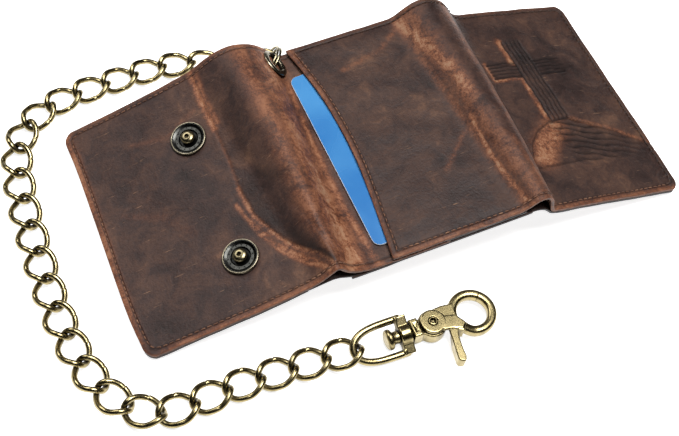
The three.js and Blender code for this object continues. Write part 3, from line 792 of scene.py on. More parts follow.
def left_relief(x, v):
    """Creases pressed in along the fold's foot, with painted shade in the hollows beside them and a painted
    shadow beside the crease.
    """
    # Painted shade in the hollows and a painted shadow beside the crease; neither is pressed into the
    # surface.
    hollow_shade = strokes(x, v, [
        ([(55, 47), (57.5, 33), (62, 24)], 3.2, 0.55),
        ([(62, 24), (66.5, 14.5), (70.5, 6)], 2.4, 0.8),
        ([(62, 93), (60, 78), (58, 62)], 3.0, 0.35),
        ([(60, 52), (64, 46), (69, 44)], 2.2, 0.4),
    ])
    cut = strokes(x, v, [(CREASE, 0.6, 0.22), ([(66, 32), (69.5, 20), (73, 8)], 0.5, 0.3)])
    shadow = strokes(x, v, [([(a + 1.1, b) for a, b in CREASE[4:]], 0.5, 1.0)])
    return -cut, np.clip(hollow_shade + 0.5 * shadow, 0, 1)


def left_wear(x, v):
    """Where the left piece is rubbed: the fold's crest and flank, its creases and the outer edges."""
    t = v / HEIGHT
    ridge = 71.5 - 1.5 * t
    flank = 0.95 * np.exp(-((x - (78.5 + 2.5 * t)) / 6.0) ** 2)
    crest = 0.55 * np.exp(-((x - ridge) / 4.0) ** 2)
    lines = [
        (CREASE[:3], 1.1, 1.15),
        (CREASE[2:5], 0.6, 0.3),
        (CREASE[4:], 0.9, 1.2),
        ([(x - 2.0, y - 1.3) for x, y in CREASE[5:]], 0.9, 0.95),
        ([(48.2, 44), (51.5, 30), (56.5, 19), (62, 11), (67.2, 5.0)], 0.7, 0.85),
        ([(52.2, 104), (52.2, 92), (53.2, 80)], 0.9, 0.6),
        ([(83, 3), (80.6, 14), (80.4, 32), (81, 46)], 0.9, 1.3),
        ([(79.4, 2), (77.6, 14), (77.5, 30)], 0.7, 1.0),
        ([(88.5, 2), (86, 30), (85.5, 60), (87, 92)], 1.4, 0.8),
        ([(20, 88), (33, 84), (47, 90)], 1.2, 0.15),
        ([(8, 60), (22, 52), (30, 40)], 1.6, 0.12),
        ([(-2.6, 0), (-2.6, 107)], 2.2, 0.9),
        ([(5, 0.5), (90, 0.5)], 1.2, 0.6),
        ([(5, 106.3), (90, 106.3)], 1.0, 0.35),
    ]
    return np.maximum(np.maximum(flank, crest), strokes(x, v, lines))


left_skin = hide("left_outer_leather", left_top, left_start, [(40, 0.6), (88, 1.2)], 118, 0, HEIGHT, 0.0,
                 thinning, [SKIN, EDGE], step=1.3, radius=(CORNER, 0), wear=left_wear, relief=left_relief,
                 sewn="lnf", row_step=0.62)
bends(left_skin, BEND_LEFT, "outer_leather", "cover_left", "cover_fold_left", "cover_middle_tail")


def left_seam(near, far):
    """A seam round the left panel: along the near edge from x near, and along the far edge to x far."""
    rim = [(left_start(v) + IN, v) for v in np.linspace(6.5, HEIGHT - 6.5, 25)]
    turn_near = [(left_start(6) + 6.5, IN), (left_start(6) + 3.6, 3.6)]
    turn_far = [(left_start(100) + 3.6, HEIGHT - 3.6), (left_start(100) + 6.5, HEIGHT - IN)]
    return [(x, IN) for x in near] + turn_near + rim + turn_far + [(x, HEIGHT - IN) for x in far]


left_thread = thread(left_top, left_seam((84, 60, 30), (30, 74)), 0.0)
bends(one_look("left_outer_stitches", left_thread, THREAD), BEND_LEFT, "outer_leather")

lining_left = backing("left_inner_leather", left_top, left_start, 60, -SKIN_THICK - 0.02, LINING_THICK,
                      "lnf", (CORNER, 0))
rides(lining_left, "left_panel", "inner_leather", "backing_left")
under_seam = left_seam((58, 30), (30, 54))
simple("left_inner_stitches", thread(left_top, under_seam, -SKIN_THICK - 1.52), THREAD, "left_panel",
       "inner_leather")

slot_left = card_slot("left_pocket_leather", left_top, 11, 48, -SKIN_THICK - 1.6)
rides(slot_left, "left_panel", "inner_leather", "slot_left")

# The inner leather under the left fold.
fold_in_left = Surface(
    [(56, 15.2), (60, 16.6), (64, 17.6), (67.5, 18.4), (70.5, 19.0), (73, 18.8), (75.6, 17.9),
     (78.2, 17.0), (82, 16.6), (90, 17.3)],
    [(52, 17.0), (57, 19.3), (61, 22.6), (65.5, 26.0), (69.5, 27.2), (73, 26.2), (76.2, 22.0),
     (79, 18.6), (83, 17.1), (90, 17.3)],
    [(47, 18.4), (52, 20.8), (57, 24.4), (62, 27.2), (67, 28.2), (72, 27.0), (76.5, 22.6),
     (80, 18.8), (84, 17.2), (90, 17.3)])
inner_left = fold_lining("left_fold_lining", fold_in_left, 59.6, 86)
bends(inner_left, BEND_LEFT, "inner_leather", "inner_fold_left")

# ---------- right piece: pocket front, the second fold and the tooled right panel ----------
right_top = Surface(
    [(86, 20.9), (94.5, 21.5), (120, 23.9), (140, 25.5), (148, 26.3), (150.5, 27.7), (153, 29.8),
     (156, 31.0), (159, 30.2), (161.4, 26.8), (162.6, 22.4), (163.8, 19.3), (166.4, 18.3), (180, 15.1),
     (205, 8.9), (SPAN, 3.1)],
    [(86, 20.9), (98.2, 21.9), (118, 23.7), (136, 25.3), (143.5, 26.2), (147, 28.5), (150.5, 31),
     (154.5, 32.4), (159.6, 31.5), (163.2, 28), (165.1, 23), (166.5, 19.8), (169.2, 18.5), (180, 15.6),
     (205, 9.4), (SPAN, 3.3)],
    [(86, 20.9), (92, 21.4), (116, 23.5), (132, 25), (139.5, 25.9), (144, 28.7), (148.5, 31.6),
     (153.5, 32.8), (158.5, 31.2), (163.4, 27.4), (166.8, 23.0), (169.0, 19.2), (171.8, 16.9), (181, 14.6),
     (205, 9.4), (SPAN + 1.5, 3.3)],
    ripple=0.45)
MOUTH = [(94.0, 0), (95.2, 12), (97.3, 31.5), (98.2, 52), (98.0, 70), (95.6, 88), (91.9, HEIGHT)]
MOUTH_CURVE = np.polyfit([y for _, y in MOUTH], [x for x, _ in MOUTH], 4)


def mouth_x(v):
    """The curved mouth of the quick pocket."""
    return float(np.polyval(MOUTH_CURVE, v))


# A tooled plain cross of timber grain on a ribbed mound.
CROSS = {"x": 191.1, "top": 87.8, "foot": 42.5, "bar_y": 71.7, "bar_from": 171.6, "bar_to": 209.8,
         "post_wide": 8.9, "bar_wide": 7.9}
MOUND_TOP = [(166.5, 20), (168, 26), (171, 32), (177, 38), (186, 42.6), (196, 43), (205, 38.5), (214, 33),
             (228, 24)]


def segment_marks(x, v, a, b, wide, lines, wobble):
    """Depth and darkness of a tooled bar from a to b: a border and lengthwise grain lines."""
    ax, ay = a
    bx, by = b
    length = math.hypot(bx - ax, by - ay)
    along = ((x - ax) * (bx - ax) + (v - ay) * (by - ay)) / length
    across = ((x - ax) * -(by - ay) + (v - ay) * (bx - ax)) / length
    across = across + wobble * np.sin(along * 0.33 + ax) + 0.5 * wobble * np.sin(along * 0.9 + ay)
    half = wide / 2
    within = smoothstep(-0.9, 0.3, along) * smoothstep(length + 0.9, length - 0.3, along)
    border = np.exp(-((np.abs(across) - half) / 0.55) ** 2)
    inside = (np.abs(across) < half).astype(float)
    grain = (0.5 + 0.5 * np.cos((across / wide) * 2 * math.pi * lines)) ** 3 * inside
    return within * np.maximum(border, 0.75 * grain), within * inside


def tooling(x, v):
    """Height offset and darkness of the tooling at each point of a row."""
    v = np.full_like(x, v)
    post = segment_marks(x, v, (CROSS["x"] + 0.6, CROSS["foot"]), (CROSS["x"] - 0.4, CROSS["top"]),
                         CROSS["post_wide"], 4, 0.25)
    bar = segment_marks(x, v, (CROSS["bar_from"], CROSS["bar_y"] - 0.2),
                        (CROSS["bar_to"], CROSS["bar_y"] + 0.5), CROSS["bar_wide"], 4, 0.25)
    top = np.interp(x, [p[0] for p in MOUND_TOP], [p[1] for p in MOUND_TOP])
    inside = smoothstep(0.6, -0.4, v - top) * smoothstep(17.5, 21.5, v) * (1 - post[1])
    across = 0.283 * x + 0.959 * v
    wave = 0.16 * np.sin(x * 0.42 + v * 0.15) + 0.08 * np.sin(x * 0.95 + v * 0.8)
    grooves = (0.5 + 0.5 * np.cos((across / 3.0 + wave) * 2 * math.pi)) ** 2.2
    fade = smoothstep(183, 190, x + 0.25 * (v - 32)) * (1 - 0.6 * smoothstep(198, 226, x))
    rim = (np.exp(-((v - top) / 0.6) ** 2) * (x > 167) * smoothstep(17.5, 21.5, v)
           * (0.9 - 0.4 * smoothstep(200, 226, x)))
    foot = np.exp(-((v - 20.6 - 0.04 * (x - 180)) / 0.6) ** 2) * smoothstep(200, 188, x) * (x > 167)
    mound = inside * fade * (0.15 + 0.85 * grooves)
    mark = np.maximum.reduce([post[0], bar[0] * (1 - post[1]), mound, rim, 0.7 * foot])
    around = np.maximum(bar[1], post[1]) * 0.25
    return -0.55 * mark, np.clip(0.95 * mark + around, 0, 1)


def right_wear(x, v):
    """Where the right piece is rubbed: the fold, the pocket's mouth, the tooling's rims and the edges."""
    t = v / HEIGHT
    left_foot = 149.5 - 9.5 * t
    crest = 0.5 * np.exp(-((x - (left_foot + 5.5)) / 4.2) ** 2)
    foot = 0.45 * np.exp(-((x - left_foot) / 1.6) ** 2)
    flank = 0.5 * np.exp(-((x - 162) / 2.5) ** 2)
    mouth = 0.75 * np.exp(-((x - (98.2 - 0.0019 * (v - 56) ** 2)) / 1.5) ** 2)
    lines = [
        ([(141.5, 102), (146, 84), (150, 68), (151, 56)], 2.6, 1.2),
        ([(147.5, 47), (147.3, 27), (149, 12), (150.5, 3)], 0.7, 1.4),
        ([(157, 30), (158.5, 16), (159, 4)], 1.6, 0.4),
        ([(129, 28), (141, 40), (150, 46)], 1.0, 0.4),
        ([(110, 88), (128, 92), (139, 100)], 1.2, 0.35),
        ([(173, 24.5), (176, 30), (181, 34.5), (186.5, 39)], 4.6, 1.5),
        ([(185.2, 45), (185.0, 66)], 1.2, 1.5),
        ([(185.0, 76), (184.6, 88)], 1.4, 1.4),
        ([(171.5, 66.3), (184.5, 66.6)], 0.9, 1.3),
        ([(170.9, 66), (170.9, 76)], 0.9, 0.9),
        ([(196, 43), (214, 34), (229, 24.5)], 0.9, 0.8),
        ([(SPAN, 0), (SPAN, 107)], 1.0, 0.25),
        ([(94, 0.5), (SPAN, 0.5)], 1.2, 0.7),
        ([(94, 106.3), (SPAN, 106.3)], 1.0, 0.25),
    ]
    return np.maximum.reduce([crest, foot, flank, mouth, strokes(x, v, lines)])


def pressed(x, v):
    """The pocket front is thick over the card and pressed down along its sewn edges."""
    near_edge = np.minimum(v, HEIGHT - v)
    return -0.45 * (1 - smoothstep(0, 7, near_edge)) * (1 - smoothstep(138, 146, x))


right_skin = hide("right_outer_leather", right_top, mouth_x, [(138, 0.9), (167, 0.55)], SPAN, 0, HEIGHT,
                  pressed, 1.45, [SKIN_RIGHT, EDGE], step=1.3, radius=(0, CORNER), wear=right_wear,
                  relief=tooling, sewn="lrnf", row_step=0.62)
bends(right_skin, BEND_RIGHT, "outer_leather", "cover_middle_overlay", "cover_fold_right", "cover_right")


def pressed_thread(line):
    """Stitches on the pocket front, let down with its pressed edges."""
    vertices, faces = thread(right_top, line, 0.0)
    lowered = [np.array(p) + np.array((0, 0, float(pressed(np.array([p[0]]), p[1])[0]))) for p in vertices]
    return lowered, faces


mouth_seam = [(mouth_x(v) + IN, v) for v in np.linspace(IN, HEIGHT - IN, 30)]
near_seam = [(x, IN) for x in (98.5, 120, 148, 165, 195, SPAN - 6.5)]
far_seam = [(SPAN - 6.5, IN), (SPAN - 3.6, 3.6), (SPAN - IN, 6.5), (SPAN - IN, 54), (SPAN - IN, HEIGHT - 6.5),
            (SPAN - 3.6, HEIGHT - 3.6)] + [(x, HEIGHT - IN) for x in (SPAN - 6.5, 195, 165, 97)]
right_thread = join([pressed_thread(mouth_seam), pressed_thread(near_seam)])
bends(one_look("right_outer_stitches", right_thread, THREAD), BEND_RIGHT, "outer_leather")
bends(one_look("right_far_stitches", pressed_thread(far_seam), THREAD_DARK), BEND_RIGHT, "outer_leather")

lining_right = backing("right_inner_leather", right_top, 165.6, SPAN, -1.47, LINING_THICK, "rnf", (0, CORNER))
rides(lining_right, "right_panel", "inner_leather", "backing_right")
mirrored = [(SPAN - 1.8 - x, v) for x, v in under_seam]
simple("right_inner_stitches", thread(right_top, mirrored, -2.99), THREAD, "right_panel", "inner_leather")

fold_in_right = Surface(
    [(140, 21.6), (148, 22.4), (151.5, 22.7), (154.5, 22.8), (157, 22.3), (159.6, 21.0), (161.6, 19.0),
     (163.2, 17.2), (166, 16.0), (172, 14.9)],
    [(138, 21.5), (145, 22.4), (149.5, 24.6), (153, 26.8), (156.5, 27.0), (159.6, 25.0), (162, 21),
     (164, 18), (167, 16.6), (172, 15.5)],
    [(134, 21.2), (141, 22.2), (146, 24.8), (150.5, 27.2), (155.5, 27.6), (159.4, 25.6), (162.4, 21.4),
     (164.6, 18.3), (168, 16.9), (172, 15.9)])
inner_right = fold_lining("right_fold_lining", fold_in_right, 146, 168)
bends(inner_right, BEND_RIGHT, "inner_leather", "inner_fold_right")


# ---------- middle panel's inner layers ----------
def ring_notch(v):
    """The middle leather's left edge, cut back at its far end for the ring."""
    return 78.0 + 13.5 * float(smoothstep(92.5, 95.5, v))


def raised(x, v):
    """How far the near and far edges stand up into the pressed pocket front."""
    near_edge = np.minimum(v, HEIGHT - v)
    return 0.5 * (1 - smoothstep(0, 5, near_edge)) * smoothstep(92, 98, x)


def raised_more(x, v):
    """The same for the pocket's floor."""
    return raised(x, v) * 1.7


def middle_layer(level):
    """The middle panel's plane, at a height above its inner face."""
    return tilted_surface(*MIDDLE, 158, level)


lining_middle = backing("middle_inner_leather", middle_layer(0.8), ring_notch, 153, raised, LINING_THICK,
                        "nf")
rides(lining_middle, "middle", "inner_leather", "backing_middle")
pocket_floor = backing("middle_pocket_floor", middle_layer(2.4), 116, 150, raised_more, 1.2, "nf")
rides(pocket_floor, "middle", "inner_leather")
for which, end, level in (("first", 148, -0.75), ("second", 128, -1.7)):
    pocket = card_slot("middle_pocket_" + which, middle_layer(level), 94, end, 0.0)
    rides(pocket, "middle", "inner_leather", "slot_middle_" + which)

# ---------- inside of the right panel: window pocket ----------
def rounded_box(x0, x1, y0, y1, r, steps):
    """A rectangle's outline with rounded corners."""
    points = []
    corners = ((x1 - r, y0 + r, -90), (x1 - r, y1 - r, 0), (x0 + r, y1 - r, 90), (x0 + r, y0 + r, 180))
    for cx, cy, start in corners:
        for k in range(steps + 1):
            a = math.radians(start + 90 / steps * k)
            points.append((cx + r * math.cos(a), cy + r * math.sin(a)))
    return points


def window_frame_part():
    """The window pocket's leather frame, on the right panel's inner face."""
    outer = rounded_box(170, 208.5, 18, 90, 2, 6)
    inner = rounded_box(174, 204.5, 22, 86, 1, 6)
    tilt = math.radians(RIGHT[2])
    count = len(outer)
    vertices = []
    for outline in (outer, inner):
        for level in (-0.75, -1.25):
            for x, y in outline:
                vertices.append((x - level * math.sin(tilt), y,
                                 RIGHT[1] + (x - RIGHT[0]) * math.tan(tilt) + level * math.cos(tilt)))
    faces = []
    for k in range(count):
        m = (k + 1) % count
        ot, ol, it, il = 0, count, 2 * count, 3 * count
        faces += [(ot + k, ot + m, it + m, it + k), (ol + m, ol + k, il + k, il + m),
                  (ot + m, ot + k, ol + k, ol + m), (it + k, it + m, il + m, il + k)]
    return vertices, faces


window_frame = simple("window_frame_leather", window_frame_part(), LINING, "right_panel", "inner_leather",
                      "window_frame")
bevel = window_frame.modifiers.new("soft", "BEVEL")
bevel.width = 0.0002
bevel.segments = 2


# ---------- studs, caps and sockets ----------
def standing(point, normal):
    """A matrix that stands a turned piece on a point, along a normal."""
    turn = Vector(normal).to_track_quat("Z", "Y").to_matrix().to_4x4()
    return Matrix.Translation(point) @ turn


def scattered(profile, count, radius, stand_at):
    """Small turned dots evenly round a ring."""
    dots = []
    for k in range(count):
        a = 2 * math.pi * k / count
        shift = Matrix.Translation((radius * math.cos(a), radius * math.sin(a), 0))
        dots.append(moved(turned(profile, 8), stand_at @ shift))
    return dots


STUDS = {"upper": (41.0, 79.0), "lower": (42.7, 23.0)}
plate_profile = rounded([(7.0, -0.2), (7.15, 0.4), (6.9, 1.0), (6.3, 1.3), (5.8, 1.05), (5.2, 0.8),
                         (4.3, 0.8), (3.9, 0.78), (3.7, 0.35), (3.6, 0.14), (0, 0.14)], 0.16)
rim_profile = rounded([(6.55, 0.9), (6.55, 1.36), (6.95, 1.36), (7.2, 0.9), (7.2, 0.5), (7.0, 0.5)], 0.12)
post_profile = rounded([(2.1, 0.14), (2.15, 0.7), (2.5, 1.0), (2.85, 1.55), (2.8, 2.2), (2.45, 2.75),
                        (1.7, 3.1), (0.9, 3.2), (0.7, 2.2), (0, 2.15)], 0.15)
cap_profile = rounded([(0, 0.0), (5.1, 0.0), (5.3, -0.4), (5.0, -0.95), (4.3, -1.25), (2.5, -1.35),
                       (2.2, -0.8), (0, -0.8)], 0.2)
socket_profile = rounded([(3.4, 0.9), (3.4, -0.6), (4.3, -0.75), (4.9, -0.3), (5.0, 0.3), (5.5, 0.45),
                          (5.5, 0.9)], 0.15)
DOT = [(0, 0.92), (0.28, 0.87), (0.34, 0.7)]
BEAD = [(0, 1.45), (0.2, 1.35), (0.3, 1.1)]
panel_down = Vector((math.sin(math.radians(-RIGHT[2])), 0, math.cos(math.radians(-RIGHT[2]))))
for which, (x, v) in STUDS.items():
    normal = left_top.normals(np.array([x]), v)[0]
    stand_at = standing(left_top.point(x, v, 0.0)[0], normal)
    under_at = standing(left_top.point(x, v, -SKIN_THICK - LINING_THICK)[0], normal)
    plate = [moved(turned(plate_profile, 72), stand_at)]
    plate += scattered(DOT, 14, 4.7, stand_at) + scattered(BEAD, 40, 6.35, stand_at)
    simple("stud_plate_" + which, join(plate), GUN, "left_panel", "gunmetal", "stud_" + which)
    lathe("stud_rim_" + which, rim_profile, 72, stand_at, PEWTER, "left_panel", "gunmetal")
    lathe("stud_post_" + which, post_profile, 48, stand_at, POST, "left_panel", "antique_brass")
    lathe("stud_back_" + which, cap_profile, 48, under_at, GUN, "left_panel", "gunmetal", "stud_cap_" + which)
    low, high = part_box("socket_" + which)
    socket_at = standing(local((low + high) / 2), panel_down)
    lathe("socket_ring_" + which, socket_profile, 48, socket_at, GUN, "right_panel", "gunmetal",
          "socket_" + which)

# ---------- eyelet, washer and split ring ----------
EYELET = Vector((84.2, 99.8, 22.7))
EYELET_TILT = math.radians(-46)
eyelet_at = standing(EYELET, (-math.sin(EYELET_TILT), 0, math.cos(EYELET_TILT)))
grommet = rounded([(3.7, -1.25), (4.4, -1.25), (4.45, 0.9), (6.3, 0.75), (6.45, 1.05), (6.1, 1.55),
                   (5.2, 1.85), (4.4, 1.8), (3.85, 1.4), (3.7, 0.8)], 0.2)
lathe("eyelet_grommet", grommet, 72, eyelet_at, PEWTER, "middle", "gunmetal", "eyelet")
washer = rounded([(4.7, -1.05), (6.2, -1.05), (6.2, -1.4), (5.6, -1.7), (4.9, -1.5), (4.7, -1.3)], 0.1)
lathe("eyelet_back", washer, 64, eyelet_at, PEWTER, "middle", "gunmetal", "eyelet_washer")

RING = {"radius": 7.2, "wire": 1.1, "pitch": 1.3}
to_edge = Vector((0.1, 0.85, -0.8)).normalized()
lean = math.radians(35)
ring_side = to_edge.cross(Vector((math.sin(lean), 0, math.cos(lean)))).normalized()
ring_up = ring_side.cross(to_edge)
ring_centre = EYELET + to_edge * RING["radius"]
# Almost two turns of wire, stepping sideways by the ring's pitch.
coil = []
for i in range(181):
    turns = (i / 180 - 0.5) * 1.9
    a = turns * 2 * math.pi + 0.5
    coil.append(ring_centre + to_edge * math.cos(a) * RING["radius"]
                + ring_side * turns * RING["pitch"] + ring_up * math.sin(a) * RING["radius"])
wire = tube(coil, RING["wire"] / 2, 14, closed=False)
simple("key_ring", wire, SATIN, "ring", "antique_brass", "split_ring")

# ---------- curb chain ----------
LINK = {"long": 7.35, "wide": 5.35, "wire": 2.3, "twist": -50, "count": 27}


def link_frame(node, ahead):
    """Centre, length, width and face directions of a link, from its CAD solid."""
    points = np.array([v.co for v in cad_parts[node].data.vertices])
    centre = points.mean(0)
    _, axes = np.linalg.eigh(np.cov((points - centre).T))
    along = Vector(axes[:, 2])
    if along.dot(ahead) < 0:
        along = -along
    normal = Vector(axes[:, 0])
    if normal.z < 0:
        normal = -normal
    side = normal.cross(along)
    return local(Vector(centre)), along, side, normal


def link_part(centre, along, side, normal):
    """A twisted oval of round wire, with a fine groove where its two ends meet."""
    path = []
    for i in range(96):
        angle = (i / 96 + 0.25) * 2 * math.pi
        s = math.cos(angle)
        wide = math.sin(angle) * LINK["wide"]
        turn = math.radians(LINK["twist"]) * s * abs(s) ** 0.6
        path.append(centre + along * s * LINK["long"] + side * wide * math.cos(turn)
                    + normal * wide * math.sin(turn))
    radius = np.full(96, LINK["wire"] / 2)
    radius[0] *= 0.82
    return tube(path, radius, 16)


link_names = ["link_%02d" % (i + 1) for i in range(LINK["count"])]
centres = [sum(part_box(node), Vector()) / 2 for node in link_names]
for i, node in enumerate(link_names):
    ahead = centres[min(i + 1, LINK["count"] - 1)] - centres[max(i - 1, 0)]
    simple("curb_" + node, link_part(*link_frame(node, ahead)), BRASS, node, "antique_brass", node)

# ---------- trigger snap: castings made of overlapping solids, fused and softened ----------
# SNAP is the rivet's place; the hoop's and the eye's x and y are the wallet's.
SNAP = Vector((101.9, -23.1, 4.4))
HOOP = {"x": 118.7, "y": -23.4, "inner": 5.8, "outer": 9.6}
EYE = {"x": 70.1, "half": 6.6, "wire": 3.0, "base": 90.6, "roll": 24}


def prism(outline, low, high, bevel=0.0):
    """An upright solid over an outline, its top and bottom edges cut back by the bevel."""
    points = [Vector(p) for p in outline]
    area = sum(a.x * b.y - b.x * a.y for a, b in zip(points, points[1:] + points[:1]))
    if area < 0:
        points.reverse()
    count = len(points)
    shrunk = []
    for i, p in enumerate(points):
        a = (p - points[i - 1]).normalized()
        b = (points[(i + 1) % count] - p).normalized()
        inward = Vector((-(a.y + b.y), a.x + b.x))
        inward = inward.normalized() if inward.length > 1e-6 else Vector((-a.y, a.x))
        shrunk.append(p + inward * bevel)
    levels = [(points, low), (points, high)]
    if bevel:
        levels = [(shrunk, low), (points, low + bevel), (points, high - bevel), (shrunk, high)]
    vertices = [(p.x, p.y, z) for ring, z in levels for p in ring]
    faces = [tuple(range(count))[::-1], tuple((len(levels) - 1) * count + k for k in range(count))]
    for i in range(len(levels) - 1):
        for k in range(count):
            m = (k + 1) % count
            faces.append((i * count + k, i * count + m, (i + 1) * count + m, (i + 1) * count + k))
    return vertices, faces


def rod(radius, low, high, bevel=0.0, sides=64):
    """An upright round bar on the z axis."""
    turns = [2 * math.pi * k / sides for k in range(sides)]
    return prism([(radius * math.cos(a), radius * math.sin(a)) for a in turns], low, high, bevel)


def block(x0, x1, y0, y1, z0, z1, bevel=0.3):
    """A box with its top and bottom edges cut back."""
    return prism([(x0, y0), (x1, y0), (x1, y1), (x0, y1)], z0, z1, bevel)


def hoop_arc(start, stop, low, high, rise=0.0):
    """Part of the snap's ring: a rounded band between two angles in degrees, which may rise at its end."""
    middle = (HOOP["inner"] + HOOP["outer"]) / 2
    half = (HOOP["outer"] - HOOP["inner"]) / 2
    deep = (high - low) / 2

    def squared(value):
        return math.copysign(abs(value) ** 0.72, value)

    section = []
    for k in range(20):
        a = 2 * math.pi * k / 20
        section.append((half * squared(math.cos(a)), deep * squared(math.sin(a))))
    steps = max(8, int(abs(stop - start) / 3))
    vertices = []
    for i in range(steps + 1):
        a = math.radians(start + (stop - start) * i / steps)
        lift = rise * float(smoothstep(0.72, 0.97, i / steps))
        for r, z in section:
            vertices.append((HOOP["x"] - SNAP.x + (middle + r) * math.cos(a),
                             HOOP["y"] - SNAP.y + (middle + r) * math.sin(a), (low + high) / 2 + z + lift))
    faces = [tuple(range(20)), tuple(steps * 20 + k for k in range(20))[::-1]]
    for i in range(steps):
        for k in range(20):
            m = (k + 1) % 20
            faces.append((i * 20 + k, (i + 1) * 20 + k, (i + 1) * 20 + m, i * 20 + m))
    return vertices, faces


def apply_modifiers(obj):
    """Replaces the object's mesh with what its modifiers make of it."""
    graph = bpy.context.evaluated_depsgraph_get()
    graph.update()
    made = bpy.data.meshes.new_from_object(obj.evaluated_get(graph))
    obj.modifiers.clear()
    old = obj.data
    obj.data = made
    bpy.data.meshes.remove(old)


def in_place(part):
    """A part of the snap, moved from the snap's own frame to the wallet's."""
    return moved(part, Matrix.Translation(SNAP))


def carve(obj, cutters):
    """Cuts parts, given in the snap's own frame, out of an object."""
    for part in cutters:
        cutter = outward(build("cutter", *in_place(part), []))
        cut = obj.modifiers.new("cut", "BOOLEAN")
        cut.operation = "DIFFERENCE"
        cut.solver = "EXACT"
        cut.object = cutter
        apply_modifiers(obj)
        bpy.data.objects.remove(cutter)


def cast(name, parts, body, *nodes, cutters=(), passes=6):
    """Parts in the snap's frame fused by a fine remesh, then softened as a casting is."""
    obj = one_look(name, in_place(join(parts)), BRASS)
    fuse = obj.modifiers.new("fuse", "REMESH")
    fuse.mode = "VOXEL"
    fuse.voxel_size = 0.16 * MM
    apply_modifiers(obj)
    carve(obj, cutters)
    soften = obj.modifiers.new("soften", "SMOOTH")
    soften.factor = 0.5
    soften.iterations = passes
    apply_modifiers(obj)
    obj.data.polygons.foreach_set("use_smooth", [True] * len(obj.data.polygons))
    if not obj.data.materials:
        obj.data.materials.append(BRASS)
    return rides(obj, body, "antique_brass", *nodes)


ABOUT_X = Matrix.Rotation(math.radians(90), 4, "Y")
roll = Matrix.Translation((EYE["base"] - SNAP.x, 0, 0)) @ Matrix.Rotation(math.radians(EYE["roll"]), 4, "X")
reach = EYE["base"] - EYE["x"]
bow = []
for i in range(61):
    a = (i / 60 - 0.5) * math.pi
    bow.append((-reach * max(0.0, math.cos(a)) ** 0.45, math.sin(a) * EYE["half"], 0))
bow_tube = tube(bow, EYE["wire"] / 2, 16, closed=False)
barrel = rod(3.95, -2.3, 2.3, 0.45, 40)
eye_parts = [
    moved(bow_tube, roll), moved(barrel, roll @ ABOUT_X),
    moved(block(-2.2, 2.2, -7.4, 7.4, -1.8, 1.8, 0.4), roll),
    moved(block(-2.5, -1.6, -7.5, -5.4, -1.95, 1.95, 0.2), roll),
    moved(block(-2.5, -1.6, 5.4, 7.5, -1.95, 1.95, 0.2), roll),
]
bore = moved(rod(1.9, -6, 6, sides=40), roll @ ABOUT_X)
cast("swivel_bow", eye_parts, "eye", "swivel_eye", cutters=[bore], passes=14)

spindle = rounded([(0, -7.7), (2.9, -7.6), (3.7, -7.2), (4.0, -6.5), (3.9, -5.6), (3.2, -5.1),
                   (2.5, -4.8), (2.4, -3.6), (2.6, -2.65), (1.5, -2.6), (1.5, 4.9), (0, 4.9)], 0.2)
spin_at = Matrix.Translation((EYE["base"], SNAP.y, SNAP.z)) @ ABOUT_X
lathe("swivel_knob", spindle, 48, spin_at, BRASS, "hook", "antique_brass", "spindle")

BODY_LOW, BODY_HIGH = -3.7, 2.0
JAW_LOW, JAW_HIGH = -2.4, 2.0
body_parts = [
    rod(5.6, BODY_LOW, BODY_HIGH, 0.35),
    block(-8.8, -5.3, -3.8, 3.8, -3.4, 3.6, 0.5),
    block(-7.0, -3.0, -3.4, 3.4, BODY_LOW, BODY_HIGH, 0.2),
    hoop_arc(47, 176, JAW_LOW, JAW_HIGH),
    prism([(1, 5.3), (1, -1), (8.6, -1), (10.4, 0.6), (10.6, 5.2), (6, 5.8)], JAW_LOW, JAW_HIGH, 0.3),
]
body_cuts = [
    rod(3.5, BODY_LOW + 1.1, BODY_LOW + 6.5),
    rod(1.9, -10, 10, sides=40),
    block(-7.85, -6.25, -2.0, 2.0, 2.9, 5.0, 0.0),
    moved(rod(1.85, -3, 3, sides=40), Matrix.Translation((-9.1, 0, 0)) @ ABOUT_X),
]
cast("snap_body", body_parts, "hook", "hook_body", cutters=body_cuts)

PLATE_LOW, PLATE_HIGH = 2.35, 3.9
LEVER = [(4.4, -4.9), (7.9, -5.6), (6.9, -8.2), (6.4, -11), (6.0, -14.5), (5.9, -17.0), (5.4, -18.2),
         (4.7, -18.8), (3.8, -18.7), (2.8, -18.1), (2.4, -17.2), (2.8, -14.5), (3.4, -11)]
WEB = [(2.4, -4.6), (6.0, -5.2), (9.6, -6.6), (11.6, -4.4), (10.0, -1.6), (9.6, -0.4), (4.8, 0.9), (3.4, 3.6)]
trigger_parts = [
    rod(4.9, PLATE_LOW, PLATE_HIGH, 0.3),
    hoop_arc(47.2, -160, JAW_LOW, JAW_HIGH, 1.5),
    prism(WEB, PLATE_LOW - 0.2, PLATE_HIGH - 0.05, 0.3),
    prism([(6.2, -5.8), (9.6, -7.4), (11.6, -5), (8.4, -3.6)], JAW_LOW, PLATE_HIGH - 0.3, 0.2),
    prism(LEVER, PLATE_LOW - 0.3, PLATE_HIGH - 0.1, 0.35),
    prism([(5, -6.4)] + LEVER[1:], -1.6, PLATE_HIGH - 0.4, 0.3),
]
trigger_cuts = [
    rod(1.9, -10, 10, sides=40),
    rod(1.85, PLATE_HIGH - 0.6, PLATE_HIGH + 2),
]
cast("snap_trigger", trigger_parts, "trigger", "trigger", cutters=trigger_cuts)

rivet = rounded([(0, -4.3), (2.6, -4.3), (2.6, -3.95), (1.6, -3.95), (1.6, 3.45), (1.72, 3.75),
                 (1.6, 4.1), (1.25, 4.2), (0.95, 3.7), (0.8, 3.0), (0, 2.95)], 0.12)
lathe("snap_rivet", rivet, 48, Matrix.Translation(SNAP), BRASS, "hook", "antique_brass", "rivet")

